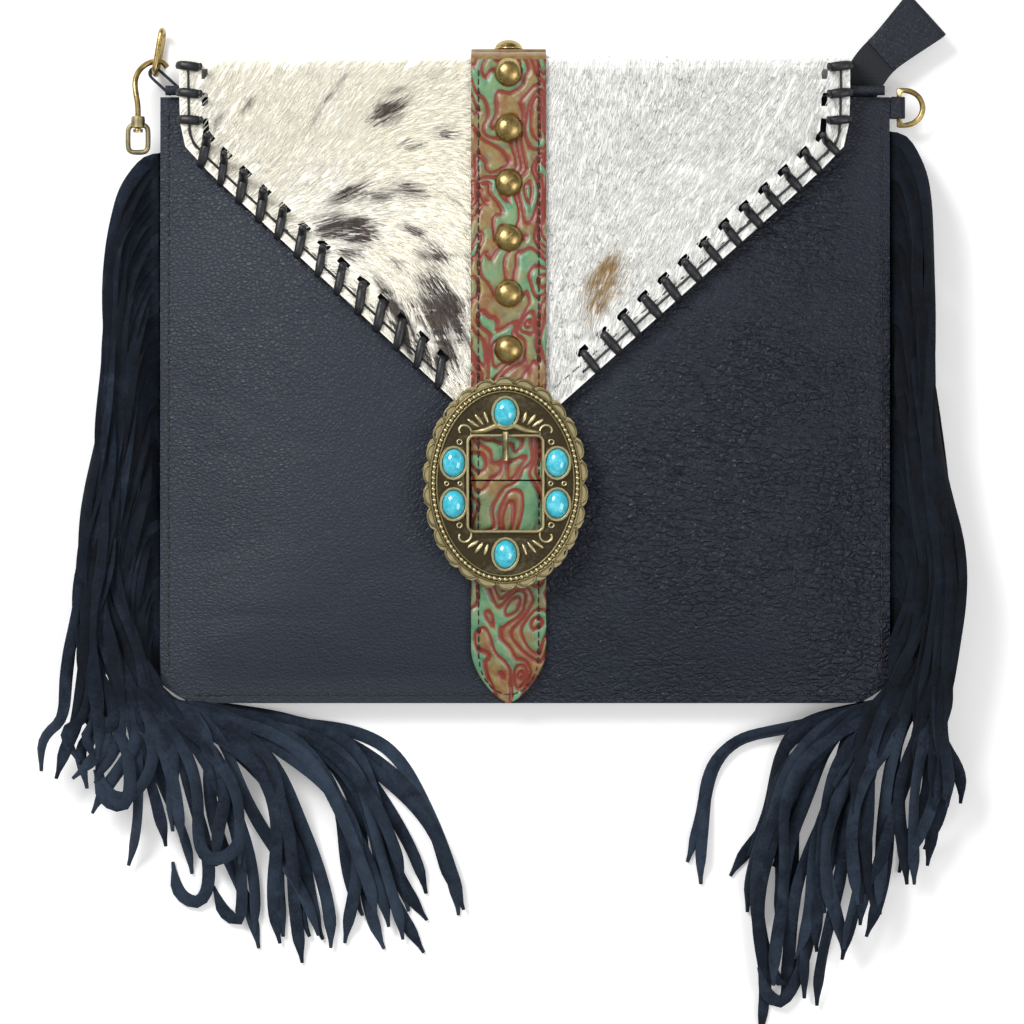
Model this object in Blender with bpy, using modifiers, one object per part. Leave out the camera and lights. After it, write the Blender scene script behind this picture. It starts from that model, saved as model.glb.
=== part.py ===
"""Fringed flap bag, lying on its back, in metres: +X right, +Y towards the flap's fold, +Z up.

The origin is the middle of the back panel's rest face. Each object is one physical piece.
"""

import math

import bmesh
import bpy
import numpy as np
from mathutils import Matrix, Vector

# Fit
GAP = 0.0003  # between pieces that touch

# Body
BODY_WIDTH = 0.254
BODY_HEIGHT = 0.211
CORNER_RADIUS = 0.009
LEATHER = 0.0016
SEAM_HEIGHT = 0.0080  # middle of the side seam, above the surface
SEAM_MARGIN = 0.0050
BACK_RISE_REACH = 0.020  # over this width the back panel climbs to the seam
BELLY_RISE = 0.0115
BELLY_REACH = 0.060
MOUTH_RISE = 0.0036
BELLY_START = 0.085  # below the mouth, where the belly is at its full height
FOLD_DEPTH = 0.0006  # creases in the front panel
LINING = 0.0005
LINING_EASE = 0.0016  # the cloth hangs this far inside the leather
HEM_RADIUS = 0.0018

# Flap
MOUTH_TO_FOLD = 0.0128
FOLD_HEIGHT = 0.0179
FLAP_THICKNESS = 0.0020
FLAP_LEFT = 0.1200
FLAP_RIGHT = 0.1128
FLAP_CORNER_DROP = 0.0300  # from the fold to where the V starts
FLAP_TIP_X = -0.0057
FLAP_TIP_DROP = 0.1326
FLAP_TIP_WIDTH = 0.0080
FLAP_DRAPE = 0.040
YOKE_LAP = 0.0125  # how far the hide runs under the back panel
YOKE_BEND = 0.0050
LAP_STEP = 0.0050  # over this length the back panel climbs over the hide's edge

# Lacing
LACE_WIDTH = 0.0035
LACE_THICKNESS = 0.0010
LACE_PITCH = 0.0094
LACE_INSET = 0.0088  # from the flap's edge to the slots
LACE_START = 0.0050
LACE_COUNT = 16
LACE_EASE = 0.00045  # between the lace and the hide's faces

# Strap, studs and concho
STRAP_WIDTH = 0.0260
STRAP_THICKNESS = 0.0025
STRAP_X = -0.0057
STRAP_SPLIT_Y = -0.0278
STRAP_TIP_LENGTH = 0.018
STUD_RADIUS = 0.00485
STUD_HEIGHT = 0.0032
STUD_PITCH = 0.0192
STUD_COUNT = 6
STUD_FIRST_DROP = 0.0053
CONCHO_WIDTH = 0.0574
CONCHO_HEIGHT = 0.0738
CONCHO_Y = -0.0292
CONCHO_PLATE = 0.0014
SCALLOPS = 26
SCALLOP_DEPTH = 0.0011
RING_INSET = 0.0039  # from the scalloped edge to the raised ring
RING_WIRE = 0.0007
WINDOW_WIDTH = 0.0250
WINDOW_HEIGHT = 0.0320
FRAME_WIDTH = 0.0010
FRAME_RISE = 0.0009
STONE_WIDTH = 0.0080
STONE_LENGTH = 0.0100
STONE_HEIGHT = 0.0028
BEZEL = 0.0006
STONE_TOP_OFFSET = 0.0243
STONE_SIDE_X = 0.0178
STONE_SIDE_Y = 0.0071
PRONG_RADIUS = 0.0012

# Zip
ZIP_WIDTH = 0.0115
ZIP_THICKNESS = 0.0010
ZIP_LEFT = 0.1000
ZIP_RIGHT = 0.0980
TOOTH_PITCH = 0.0060
TOOTH_LENGTH = 0.0020
SLIDER_LENGTH = 0.0085
SLIDER_X = -0.0945
PULLER_REACH = 0.0082
PULLER_RADIUS = 0.0019
PULLER_PIN = 0.0008
TAIL_WIDTH = 0.0140
TAIL_THICKNESS = 0.0012

# Rings, tabs and clasp
TAB_LEATHER = 0.0010
RING_RADIUS = 0.0011
D_RING_HEIGHT = 0.0125
D_RING_DEPTH = 0.0085
D_RING_Y = 0.1020
RIGHT_TAB_WIDTH = 0.0075
RIGHT_TAB_LENGTH = 0.0030
OVAL_LENGTH = 0.0175
OVAL_HEIGHT = 0.0130
LEFT_TAB_HEIGHT = 0.0056
CLASP_RADIUS = 0.0011
CLASP_HEIGHT = 0.0140
COLLAR_RADIUS = 0.0025
COLLAR_LENGTH = 0.0040
EYE_WIDTH = 0.0090
EYE_LENGTH = 0.0115

# Fringe
STRAND_COUNT = 30
STRAND_WIDTH = 0.0046
STRAND_LENGTH = 0.228
SUEDE = 0.0012
FRINGE_TOP_DROP = 0.0140
FRINGE_BOTTOM_RISE = 0.0100
HEADER_WIDTH = 0.0042
DROOP_LENGTH = 0.020
STRAND_SECTIONS = 13
PILE_LOOSE = 0.0040  # up to here strands lie on each other; above it they sink into the pile
PILE_PACKED = 0.0080
TERRAIN_CELL = 0.0020

# Worked out from the sizes above
HALF_WIDTH = BODY_WIDTH / 2
MOUTH_Y = BODY_HEIGHT / 2
BOTTOM_Y = -BODY_HEIGHT / 2
FOLD_Y = MOUTH_Y + MOUTH_TO_FOLD
FLAP_CORNER_Y = FOLD_Y - FLAP_CORNER_DROP
FLAP_TIP_Y = FOLD_Y - FLAP_TIP_DROP
FRONT_RIM = SEAM_HEIGHT + SUEDE / 2 + GAP + LEATHER / 2
BACK_RIM = SEAM_HEIGHT - SUEDE / 2 - GAP - LEATHER / 2
LAP_RISE = FLAP_THICKNESS + 2 * GAP
LAP_Y = MOUTH_Y - YOKE_LAP - 2 * GAP  # from here up, the back panel clears the hide under it
HEM_Y = MOUTH_Y + HEM_RADIUS + GAP
HEM_HEIGHT = FRONT_RIM + MOUTH_RISE
FLAP_STANDOFF = LACE_EASE + LACE_THICKNESS + 2 * GAP + FLAP_THICKNESS / 2
CONCHO_X = STRAP_X - 0.0011


def smooth(value):
    """0 to 1 with level ends."""
    t = min(1.0, max(0.0, value))
    return t * t * (3 - 2 * t)


def rim_distance(x, y):
    """How far (x, y) lies inside the side and bottom seams' outline."""
    across = abs(x) - (HALF_WIDTH - CORNER_RADIUS)
    down = BOTTOM_Y + CORNER_RADIUS - y
    outside = math.hypot(max(across, 0), max(down, 0))
    return CORNER_RADIUS - outside - min(max(across, down), 0)


def half_width_at(y):
    """Half the body's width at a height, less where the lower corners are round."""
    down = max(0.0, BOTTOM_Y + CORNER_RADIUS - y)
    return HALF_WIDTH - CORNER_RADIUS + math.sqrt(max(0.0, CORNER_RADIUS**2 - down**2))


def back_height(x, y):
    """Middle of the back panel's leather: flat on the surface, with a rim that climbs to the seam."""
    inside = rim_distance(x, y)
    rim = (BACK_RIM - LEATHER / 2) * (1 - smooth((inside - SEAM_MARGIN) / BACK_RISE_REACH))
    lap = LAP_RISE * smooth((y - LAP_Y) / LAP_STEP + 1)
    return LEATHER / 2 + max(rim, lap)


def crown(x, y):
    """How far the front panel stands above its rim."""
    inside = max(0.0, min(1.0, (rim_distance(x, y) - SEAM_MARGIN) / BELLY_REACH))
    height = MOUTH_RISE + (BELLY_RISE - MOUTH_RISE) * smooth((MOUTH_Y - y) / BELLY_START)
    return height * (1 - (1 - inside) ** 2)


def creases(x, y):
    """Soft hollows that cross the front panel, deepest away from the seams."""
    depth = 0.0
    for level, lean, width in ((0.062, 0.10, 0.010), (0.012, -0.14, 0.013), (-0.047, 0.09, 0.012)):
        across = (y - level * BODY_HEIGHT / 0.211 - lean * x) / width
        depth += math.exp(-across * across)
    return FOLD_DEPTH * depth * smooth(rim_distance(x, y) / 0.03)


def front_height(x, y):
    return FRONT_RIM + crown(x, y) - creases(x, y)


def flap_height(x, y):
    """Middle of the flap's hide: level from the fold to the mouth, then down onto the front panel."""
    draped = FRONT_RIM + crown(x, y) + LEATHER / 2 + FLAP_STANDOFF
    share = smooth((MOUTH_Y - y) / FLAP_DRAPE)
    return FOLD_HEIGHT + (draped - FOLD_HEIGHT) * share


def strap_height(y):
    """Middle of the strap, which leaves the flap's tip and comes down onto the front panel."""
    on_flap = flap_height(STRAP_X, y) + FLAP_THICKNESS / 2
    on_body = FRONT_RIM + crown(STRAP_X, y) + LEATHER / 2
    share = smooth((FLAP_TIP_Y - 0.006 - y) / 0.035)
    return on_flap + (on_body - on_flap) * share + GAP + STRAP_THICKNESS / 2


def strap_slope(y):
    return math.atan2(strap_height(y + 0.002) - strap_height(y - 0.002), 0.004)


def material(name, color, roughness, metallic=0.0):
    """A plain Principled material, shared by every piece of that name."""
    found = bpy.data.materials.get(name)
    if found:
        return found
    made = bpy.data.materials.new(name)
    made.use_nodes = True
    shader = made.node_tree.nodes["Principled BSDF"]
    shader.inputs["Base Color"].default_value = (*color, 1)
    shader.inputs["Roughness"].default_value = roughness
    shader.inputs["Metallic"].default_value = metallic
    return made


LEATHER_DARK = ("pebbled leather", (0.033, 0.042, 0.060), 0.55)
HIDE = ("hair-on hide", (0.80, 0.78, 0.70), 0.85)
LACE = ("lace leather", (0.012, 0.012, 0.014), 0.45)
TOOLED = ("tooled leather", (0.16, 0.40, 0.26), 0.5)
SUEDE_NAVY = ("suede", (0.020, 0.027, 0.045), 0.95)
CLOTH = ("lining cloth", (0.10, 0.07, 0.05), 0.9)
BRONZE = ("antique bronze", (0.20, 0.16, 0.10), 0.38, 1.0)
BRASS = ("antique brass", (0.50, 0.36, 0.15), 0.32, 1.0)
STONE = ("turquoise", (0.05, 0.53, 0.67), 0.25)
TAPE = ("zip tape", (0.02, 0.02, 0.025), 0.8)


def collection(name):
    found = bpy.data.collections.get(name)
    if not found:
        found = bpy.data.collections.new(name)
        bpy.context.scene.collection.children.link(found)
    return found


def add_object(name, data, look):
    made = bpy.data.objects.new(name, data)
    data.materials.append(material(*look))
    collection("fringed bag").objects.link(made)
    return made


def as_helper(piece):
    """Keeps a cutter or a fused shape out of the render and of the parts."""
    collection("fringed bag").objects.unlink(piece)
    collection("cutters").objects.link(piece)
    piece.hide_render = True
    piece.display_type = "WIRE"


def combine(target, piece, operation):
    as_helper(piece)
    joined = target.modifiers.new(operation.lower(), "BOOLEAN")
    joined.operation = operation
    joined.object = piece
    joined.show_render = joined.show_viewport


def carry(pivot, *pieces):
    """Parents pieces to the empty on their joint's axis, where they are."""
    for piece in pieces:
        piece.parent = pivot
        piece.matrix_parent_inverse = Matrix.Translation(pivot.location).inverted()


def pivot_at(name, place):
    pivot = bpy.data.objects.new(name, None)
    pivot.location = place
    pivot.empty_display_size = 0.01
    collection("fringed bag").objects.link(pivot)
    return pivot


def sheet(name, rows, thickness, look):
    """A sheet of leather or cloth: a grid of points through its middle, with Solidify."""
    form = bmesh.new()
    grid = [[form.verts.new(point) for point in row] for row in rows]
    for near, far in zip(grid, grid[1:]):
        for i in range(len(near) - 1):
            form.faces.new((near[i], near[i + 1], far[i + 1], far[i]))
    return thickened(name, form, thickness, look)


def thickened(name, form, thickness, look):
    bmesh.ops.recalc_face_normals(form, faces=form.faces)
    mesh = bpy.data.meshes.new(name)
    form.to_mesh(mesh)
    form.free()
    mesh.shade_smooth()
    mesh.set_sharp_from_angle(angle=math.radians(40))
    piece = add_object(name, mesh, look)
    wall = piece.modifiers.new("thickness", "SOLIDIFY")
    wall.thickness = thickness
    wall.offset = 0
    return piece


def curve_mesh(name, curve, look):
    """The solid of a curve, with its caps welded, as a mesh object."""
    guide = bpy.data.objects.new(name + " guide", curve)
    bpy.context.scene.collection.objects.link(guide)
    bpy.context.view_layer.update()
    graph = bpy.context.evaluated_depsgraph_get()
    mesh = bpy.data.meshes.new_from_object(guide.evaluated_get(graph))
    bpy.data.objects.remove(guide)
    form = bmesh.new()
    form.from_mesh(mesh)
    bmesh.ops.remove_doubles(form, verts=form.verts, dist=1e-7)
    bmesh.ops.recalc_face_normals(form, faces=form.faces)
    form.to_mesh(mesh)
    form.free()
    mesh.materials.clear()
    mesh.shade_smooth()
    mesh.set_sharp_from_angle(angle=math.radians(40))
    mesh.name = name
    return add_object(name, mesh, look)


def spline(curve, points, cyclic):
    line = curve.splines.new("POLY")
    line.points.add(len(points) - 1)
    for spot, place in zip(line.points, points):
        spot.co = (*place, 1)
    line.use_cyclic_u = cyclic


def plate(name, outlines, thickness, look, bevel=0.0):
    """A flat piece in the XY plane, its middle at z = 0. Outlines after the first are holes."""
    curve = bpy.data.curves.new(name, "CURVE")
    curve.dimensions = "2D"
    curve.fill_mode = "BOTH"
    curve.extrude = thickness / 2 - bevel
    curve.bevel_depth = bevel
    curve.bevel_resolution = 0
    for outline in outlines:
        spline(curve, [(x, y, 0) for x, y in outline], True)
    return curve_mesh(name, curve, look)


def wire(name, points, radius, look, cyclic=False, rounding=2):
    curve = bpy.data.curves.new(name, "CURVE")
    curve.dimensions = "3D"
    curve.bevel_depth = radius
    curve.bevel_resolution = rounding
    curve.use_fill_caps = True
    spline(curve, points, cyclic)
    return curve_mesh(name, curve, look)


def ellipse(width, height, count, centre=(0, 0)):
    turns = [2 * math.pi * i / count for i in range(count)]
    return [
        (centre[0] + width / 2 * math.cos(t), centre[1] + height / 2 * math.sin(t)) for t in turns
    ]


def rounded_box(width, height, radius, steps=3):
    """The outline of a rectangle with round corners, counter-clockwise."""
    points = []
    for corner, (sx, sy) in enumerate(((1, 1), (-1, 1), (-1, -1), (1, -1))):
        for step in range(steps + 1):
            turn = math.pi / 2 * (corner + step / steps)
            points.append(
                (
                    sx * (width / 2 - radius) + radius * math.cos(turn),
                    sy * (height / 2 - radius) + radius * math.sin(turn),
                )
            )
    return points


def dome(name, width, length, height, look, segments=16, rings=4):
    """A low oval dome on a flat base at z = 0."""
    form = bmesh.new()
    bmesh.ops.create_uvsphere(form, u_segments=segments, v_segments=2 * rings, radius=1)
    below = [corner for corner in form.verts if corner.co.z < -1e-4]
    bmesh.ops.delete(form, geom=below, context="VERTS")
    rim = [edge for edge in form.edges if edge.is_boundary]
    bmesh.ops.holes_fill(form, edges=rim)
    bmesh.ops.scale(form, vec=(width / 2, length / 2, height), verts=form.verts)
    bmesh.ops.recalc_face_normals(form, faces=form.faces)
    mesh = bpy.data.meshes.new(name)
    form.to_mesh(mesh)
    form.free()
    mesh.shade_smooth()
    mesh.set_sharp_from_angle(angle=math.radians(50))
    return add_object(name, mesh, look)


def block(name, low, high, look):
    """A plain box between two corners."""
    form = bmesh.new()
    bmesh.ops.create_cube(form, size=1)
    size = [b - a for a, b in zip(low, high)]
    middle = [(a + b) / 2 for a, b in zip(low, high)]
    bmesh.ops.scale(form, vec=size, verts=form.verts)
    bmesh.ops.translate(form, vec=middle, verts=form.verts)
    mesh = bpy.data.meshes.new(name)
    form.to_mesh(mesh)
    form.free()
    return add_object(name, mesh, look)


def spread(low, high, count, crowding=0.0):
    """Values from low to high, closer together at both ends as crowding nears 1."""
    values = []
    for i in range(count):
        t = i / (count - 1)
        eased = (1 - math.cos(math.pi * t)) / 2
        values.append(low + (high - low) * (t + (eased - t) * crowding))
    return values


def body_rows(height_of, columns, rows, more=()):
    """Rows of points over the body's outline, from the bottom seam to the mouth."""
    grid = []
    for y in sorted([*spread(BOTTOM_Y, MOUTH_Y, rows, 0.5), *more]):
        reach = half_width_at(y)
        grid.append([(x, y, height_of(x, y)) for x in spread(-reach, reach, columns, 0.6)])
    return grid


def make_panels():
    step = [LAP_Y - LAP_STEP, LAP_Y - LAP_STEP / 2, LAP_Y]
    sheet("back_panel", body_rows(back_height, 17, 13, step), LEATHER, LEATHER_DARK)
    sheet("front_panel", body_rows(front_height, 17, 19), LEATHER, LEATHER_DARK)
    inner = HALF_WIDTH - CORNER_RADIUS
    rows = []
    for y in (BOTTOM_Y, BOTTOM_Y + SEAM_MARGIN - GAP):
        rows.append([(x, y, SEAM_HEIGHT) for x in spread(-inner, inner, 9)])
    sheet("bottom_welt", rows, SUEDE, LEATHER_DARK)
    hem = HALF_WIDTH - 0.002
    ends = [(x, HEM_Y, HEM_HEIGHT) for x in spread(-hem, hem, 5)]
    wire("mouth_hem", ends, HEM_RADIUS, LEATHER_DARK, rounding=3)


def make_lining():
    """A cloth pocket inside both panels, closed at the sides and the bottom and open at the mouth."""
    inset = SEAM_MARGIN + 2 * GAP + 0.004
    top = LAP_Y - LAP_STEP
    offset = LEATHER / 2 + LINING_EASE + LINING / 2
    form = bmesh.new()
    front, back = [], []
    columns, rows = 13, 11
    for j, y in enumerate(spread(BOTTOM_Y + inset, top, rows, 0.7)):
        reach = half_width_at(y) - inset
        upper, lower = [], []
        for i, x in enumerate(spread(-reach, reach, columns, 0.8)):
            ceiling = front_height(x, y) - offset
            floor = back_height(x, y) + offset
            if j == 0 or i in (0, columns - 1):
                shared = form.verts.new((x, y, (ceiling + floor) / 2))
                upper.append(shared)
                lower.append(shared)
            else:
                upper.append(form.verts.new((x, y, ceiling)))
                lower.append(form.verts.new((x, y, floor)))
        front.append(upper)
        back.append(lower)
    for layer in (front, back):
        for near, far in zip(layer, layer[1:]):
            for i in range(columns - 1):
                form.faces.new((near[i], near[i + 1], far[i + 1], far[i]))
    thickened("lining", form, LINING, CLOTH)


def flap_side(y, side):
    """The flap's edge at a height: straight, then the V, with a soft corner between."""
    full = FLAP_LEFT if side < 0 else FLAP_RIGHT
    tip = side * FLAP_TIP_X + FLAP_TIP_WIDTH / 2
    share = (FLAP_CORNER_Y - y) / (FLAP_CORNER_Y - FLAP_TIP_Y)
    softness = 0.035
    eased = (share + math.sqrt(share * share + softness**2)) / 2
    top = (1 + math.sqrt(1 + softness**2)) / 2
    return side * (full + (tip - full) * eased / top)


def flap_rows():
    rows = []
    drops = [0, 0.006, 0.013] + spread(0.022, FLAP_TIP_DROP, 14)
    for drop in drops:
        y = FOLD_Y - drop
        xs = spread(flap_side(y, -1), flap_side(y, 1), 13)
        rows.append([(x, y, flap_height(x, y)) for x in xs])
    return rows


def edge_line(side):
    """Points down one edge of the flap and how far along it each lies."""
    heights = np.linspace(FOLD_Y, FLAP_TIP_Y, 300)
    points = np.array([(flap_side(y, side), y) for y in heights])
    steps = np.hypot(*np.diff(points, axis=0).T)
    return points, np.concatenate([[0], np.cumsum(steps)])


def edge_frame(line, along, side):
    """(place, direction down the edge, direction into the flap) at a distance along the edge."""
    points, lengths = line
    here = np.array([np.interp(along, lengths, points[:, k]) for k in (0, 1)])
    ahead = np.array([np.interp(along + 0.001, lengths, points[:, k]) for k in (0, 1)])
    behind = np.array([np.interp(along - 0.001, lengths, points[:, k]) for k in (0, 1)])
    run = (ahead - behind) / np.linalg.norm(ahead - behind)
    inward = np.array([run[1], -run[0]]) * side
    return here, run, inward


def lace_spot(line, along, inset, level, side):
    here, _, inward = edge_frame(line, along, side)
    x, y = here + inward * inset
    return Vector((x, y, flap_height(x, y) + level))


def slot_cutter(name, line, along, side):
    """A slot in the flap for one pass of the lace."""
    here, run, inward = edge_frame(line, along, side)
    x, y = here + inward * LACE_INSET
    half_long = LACE_WIDTH / 2 + GAP + 0.0003
    half_wide = LACE_THICKNESS / 2 + GAP + 0.0003
    tall = FLAP_THICKNESS + 0.004
    cutter = block(
        name, (-half_long, -half_wide, -tall / 2), (half_long, half_wide, tall / 2), HIDE
    )
    cutter.matrix_world = Matrix.Translation((x, y, flap_height(x, y))) @ Matrix.Rotation(
        math.atan2(run[1], run[0]), 4, "Z"
    )
    return cutter


def lace_route(line, side):
    """One pass per stitch: up through its slot, over the edge, and under to the next slot."""
    level = FLAP_THICKNESS / 2 + LACE_EASE + LACE_THICKNESS / 2
    beyond = -(GAP + LACE_THICKNESS / 2)
    route = []
    for i in range(LACE_COUNT):
        along = LACE_START + i * LACE_PITCH
        stops = [
            (0, LACE_INSET, -level * 0.55),
            (0, LACE_INSET, level * 0.55),
            (0, LACE_INSET - 0.0006, level),
            (0, -0.0002, level),
            (0, beyond, level - 0.0006),
            (0, beyond, 0.0006 - level),
            (0, -0.0002, -level),
            (LACE_PITCH, LACE_INSET - 0.0006, -level),
        ]
        for shift, inset, height in stops:
            if i < LACE_COUNT - 1 or shift == 0:
                route.append((lace_spot(line, along + shift, inset, height, side), along))
    return route


def make_lacing(name, side, flap):
    line = edge_line(side)
    route = lace_route(line, side)
    form = bmesh.new()
    rings = []
    for i, (place, along) in enumerate(route):
        before = route[max(0, i - 1)][0]
        after = route[min(len(route) - 1, i + 1)][0]
        heading = (after - before).normalized()
        run = Vector((*edge_frame(line, along, side)[1], 0))
        up = heading.cross(run).normalized()
        ring = []
        for a, b in ((-1, -1), (1, -1), (1, 1), (-1, 1)):
            offset = run * (a * LACE_WIDTH / 2) + up * (b * LACE_THICKNESS / 2)
            ring.append(form.verts.new(place + offset))
        rings.append(ring)
    for near, far in zip(rings, rings[1:]):
        for k in range(4):
            form.faces.new((near[k], near[(k + 1) % 4], far[(k + 1) % 4], far[k]))
    form.faces.new(rings[0][::-1])
    form.faces.new(rings[-1])
    bmesh.ops.recalc_face_normals(form, faces=form.faces)
    mesh = bpy.data.meshes.new(name)
    form.to_mesh(mesh)
    form.free()
    lace = add_object(name, mesh, LACE)
    for i in range(LACE_COUNT):
        cutter = slot_cutter(f"{name} slot {i}", line, LACE_START + i * LACE_PITCH, side)
        combine(flap, cutter, "DIFFERENCE")
    return lace


def make_yoke():
    """The hide's fixed part: under the back panel's edge, round the bend and up to the fold."""
    half = FLAP_THICKNESS / 2
    top = FOLD_HEIGHT - half - GAP
    profile = [(MOUTH_Y - YOKE_LAP, half), (MOUTH_Y, half)]
    for step in range(5):
        turn = math.pi / 2 * step / 4
        profile.append(
            (
                FOLD_Y - YOKE_BEND + YOKE_BEND * math.sin(turn),
                half + YOKE_BEND - YOKE_BEND * math.cos(turn),
            )
        )
    profile.append((FOLD_Y, top))
    xs = (-FLAP_LEFT, STRAP_X, FLAP_RIGHT)
    sheet("flap_yoke", [[(x, y, z) for x in xs] for y, z in profile], FLAP_THICKNESS, HIDE)


def strap_row(y, half, lift=0.0):
    return [(STRAP_X + half * k, y, strap_height(y) + lift) for k in (-1, 0, 1)]


def make_straps():
    half = STRAP_WIDTH / 2
    upper = [strap_row(y, half) for y in spread(FOLD_Y - 0.0005, STRAP_SPLIT_Y, 20)]
    tip_end = BOTTOM_Y
    taper = tip_end + STRAP_TIP_LENGTH
    lower = [strap_row(y, half) for y in spread(STRAP_SPLIT_Y - GAP, taper, 10)]
    for step in range(1, 7):
        turn = math.pi / 2 * step / 6.4
        y = taper - STRAP_TIP_LENGTH * math.sin(turn)
        lower.append(strap_row(y, half * math.cos(turn) ** 0.8))
    strap_upper = sheet("strap_upper", upper, STRAP_THICKNESS, TOOLED)
    strap_tip = sheet("strap_tip", lower, STRAP_THICKNESS, TOOLED)
    wall = FOLD_Y + FLAP_THICKNESS / 2 + GAP
    low, high = 0.0010, FOLD_HEIGHT - 0.0056
    block(
        "strap_yoke",
        (STRAP_X - half, wall, low),
        (STRAP_X + half, wall + STRAP_THICKNESS, high),
        TOOLED,
    )
    return strap_upper, strap_tip


def make_studs():
    """Six studs down the strap on the flap, and one behind the fold."""
    studs = []
    for i in range(STUD_COUNT):
        y = FOLD_Y - STUD_FIRST_DROP - i * STUD_PITCH
        stud = dome(f"stud_{i + 1}", 2 * STUD_RADIUS, 2 * STUD_RADIUS, STUD_HEIGHT, BRASS)
        slope = strap_slope(y)
        lift = STRAP_THICKNESS / 2 + GAP + 0.0001
        stud.location = (
            STRAP_X,
            y - lift * math.sin(slope),
            strap_height(y) + lift / math.cos(slope),
        )
        stud.rotation_euler = (slope, 0, 0)
        studs.append(stud)
    last = dome("stud_7", 2 * STUD_RADIUS, 2 * STUD_RADIUS, STUD_HEIGHT, BRASS)
    wall = FOLD_Y + FLAP_THICKNESS / 2 + 2 * GAP + STRAP_THICKNESS
    last.location = (STRAP_X, wall, 0.0065)
    last.rotation_euler = (-math.pi / 2, 0, 0)
    return studs


def stone_places():
    places = [(0, STONE_TOP_OFFSET), (0, -STONE_TOP_OFFSET)]
    for x in (-STONE_SIDE_X, STONE_SIDE_X):
        places += [(x, STONE_SIDE_Y), (x, -STONE_SIDE_Y)]
    return places


def scalloped_outline():
    points = []
    count = SCALLOPS * 4
    for i in range(count):
        turn = 2 * math.pi * i / count
        wave = abs(math.cos(SCALLOPS * turn / 2))
        shrink = SCALLOP_DEPTH * (1 - wave**0.7) * 1.6
        points.append(
            (
                (CONCHO_WIDTH / 2 - shrink) * math.sin(turn),
                (CONCHO_HEIGHT / 2 - shrink) * math.cos(turn),
            )
        )
    return points


def concho_base():
    """The height of the concho's underside: clear of the strap wherever it covers it."""
    ys = spread(CONCHO_Y - CONCHO_HEIGHT / 2, CONCHO_Y + CONCHO_HEIGHT / 2, 21)
    return max(strap_height(y) for y in ys) + STRAP_THICKNESS / 2 + GAP


def make_concho():
    """A scalloped cast plate with a framed window, a raised ring and six bezels."""
    window = rounded_box(WINDOW_WIDTH, WINDOW_HEIGHT, 0.002)
    concho = plate("concho", [scalloped_outline(), window], CONCHO_PLATE, BRONZE)
    concho.location = (CONCHO_X, CONCHO_Y, concho_base() + CONCHO_PLATE / 2)
    top = concho_base() + CONCHO_PLATE
    inset = 2 * RING_INSET
    oval = ellipse(CONCHO_WIDTH - inset, CONCHO_HEIGHT - inset, 48)
    ring = wire("concho ring", [(x, y, 0) for x, y in oval], RING_WIRE, BRONZE, True, 1)
    ring.location = (CONCHO_X, CONCHO_Y, top)
    combine(concho, ring, "UNION")
    outer = rounded_box(WINDOW_WIDTH + 2 * FRAME_WIDTH, WINDOW_HEIGHT + 2 * FRAME_WIDTH, 0.003)
    inner = rounded_box(WINDOW_WIDTH + 0.0004, WINDOW_HEIGHT + 0.0004, 0.002)
    frame = plate("concho frame", [outer, inner], FRAME_RISE + 0.0006, BRONZE)
    frame.location = (CONCHO_X, CONCHO_Y, top + FRAME_RISE / 2 - 0.0003)
    combine(concho, frame, "UNION")
    pieces = [concho]
    for i, (x, y) in enumerate(stone_places()):
        wide, long = STONE_WIDTH + 2 * GAP, STONE_LENGTH + 2 * GAP
        rings = [ellipse(wide + 2 * BEZEL, long + 2 * BEZEL, 16), ellipse(wide, long, 16)]
        bezel = plate(f"bezel {i}", rings, 0.0016, BRONZE)
        bezel.location = (CONCHO_X + x, CONCHO_Y + y, top + 0.0005)
        combine(concho, bezel, "UNION")
        stone = dome(f"stone_{i + 1}", STONE_WIDTH, STONE_LENGTH, STONE_HEIGHT, STONE)
        stone.location = (CONCHO_X + x, CONCHO_Y + y, top + GAP)
        pieces.append(stone)
    pieces.append(make_prong(top))
    return pieces


def make_prong(top):
    """The tongue: over the frame's top bar and down into the window."""
    bar = CONCHO_Y + WINDOW_HEIGHT / 2 + FRAME_WIDTH / 2
    over = top + FRAME_RISE + PRONG_RADIUS + GAP
    inside = strap_height(CONCHO_Y + 0.008) + STRAP_THICKNESS / 2 + PRONG_RADIUS + GAP
    route = [
        (CONCHO_X, bar + 0.0013, over),
        (CONCHO_X, bar - 0.0014, over),
        (CONCHO_X, bar - 0.0040, inside + 0.0008),
        (CONCHO_X, bar - 0.0085, inside),
    ]
    return wire("concho_prong", route, PRONG_RADIUS, BRONZE, rounding=2)


def comb(left, right, low, edge, tip):
    """A zip tape's outline with its row of teeth along the outer edge."""
    points = [(left, low), (right, low), (right, edge)]
    count = int((right - left) / TOOTH_PITCH)
    for i in range(count):
        x = right - (i + 0.3) * TOOTH_PITCH
        half = TOOTH_PITCH / 2
        points += [(x, edge), (x, tip), (x - half, tip), (x - half, edge)]
    points.append((left, edge))
    return points


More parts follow.
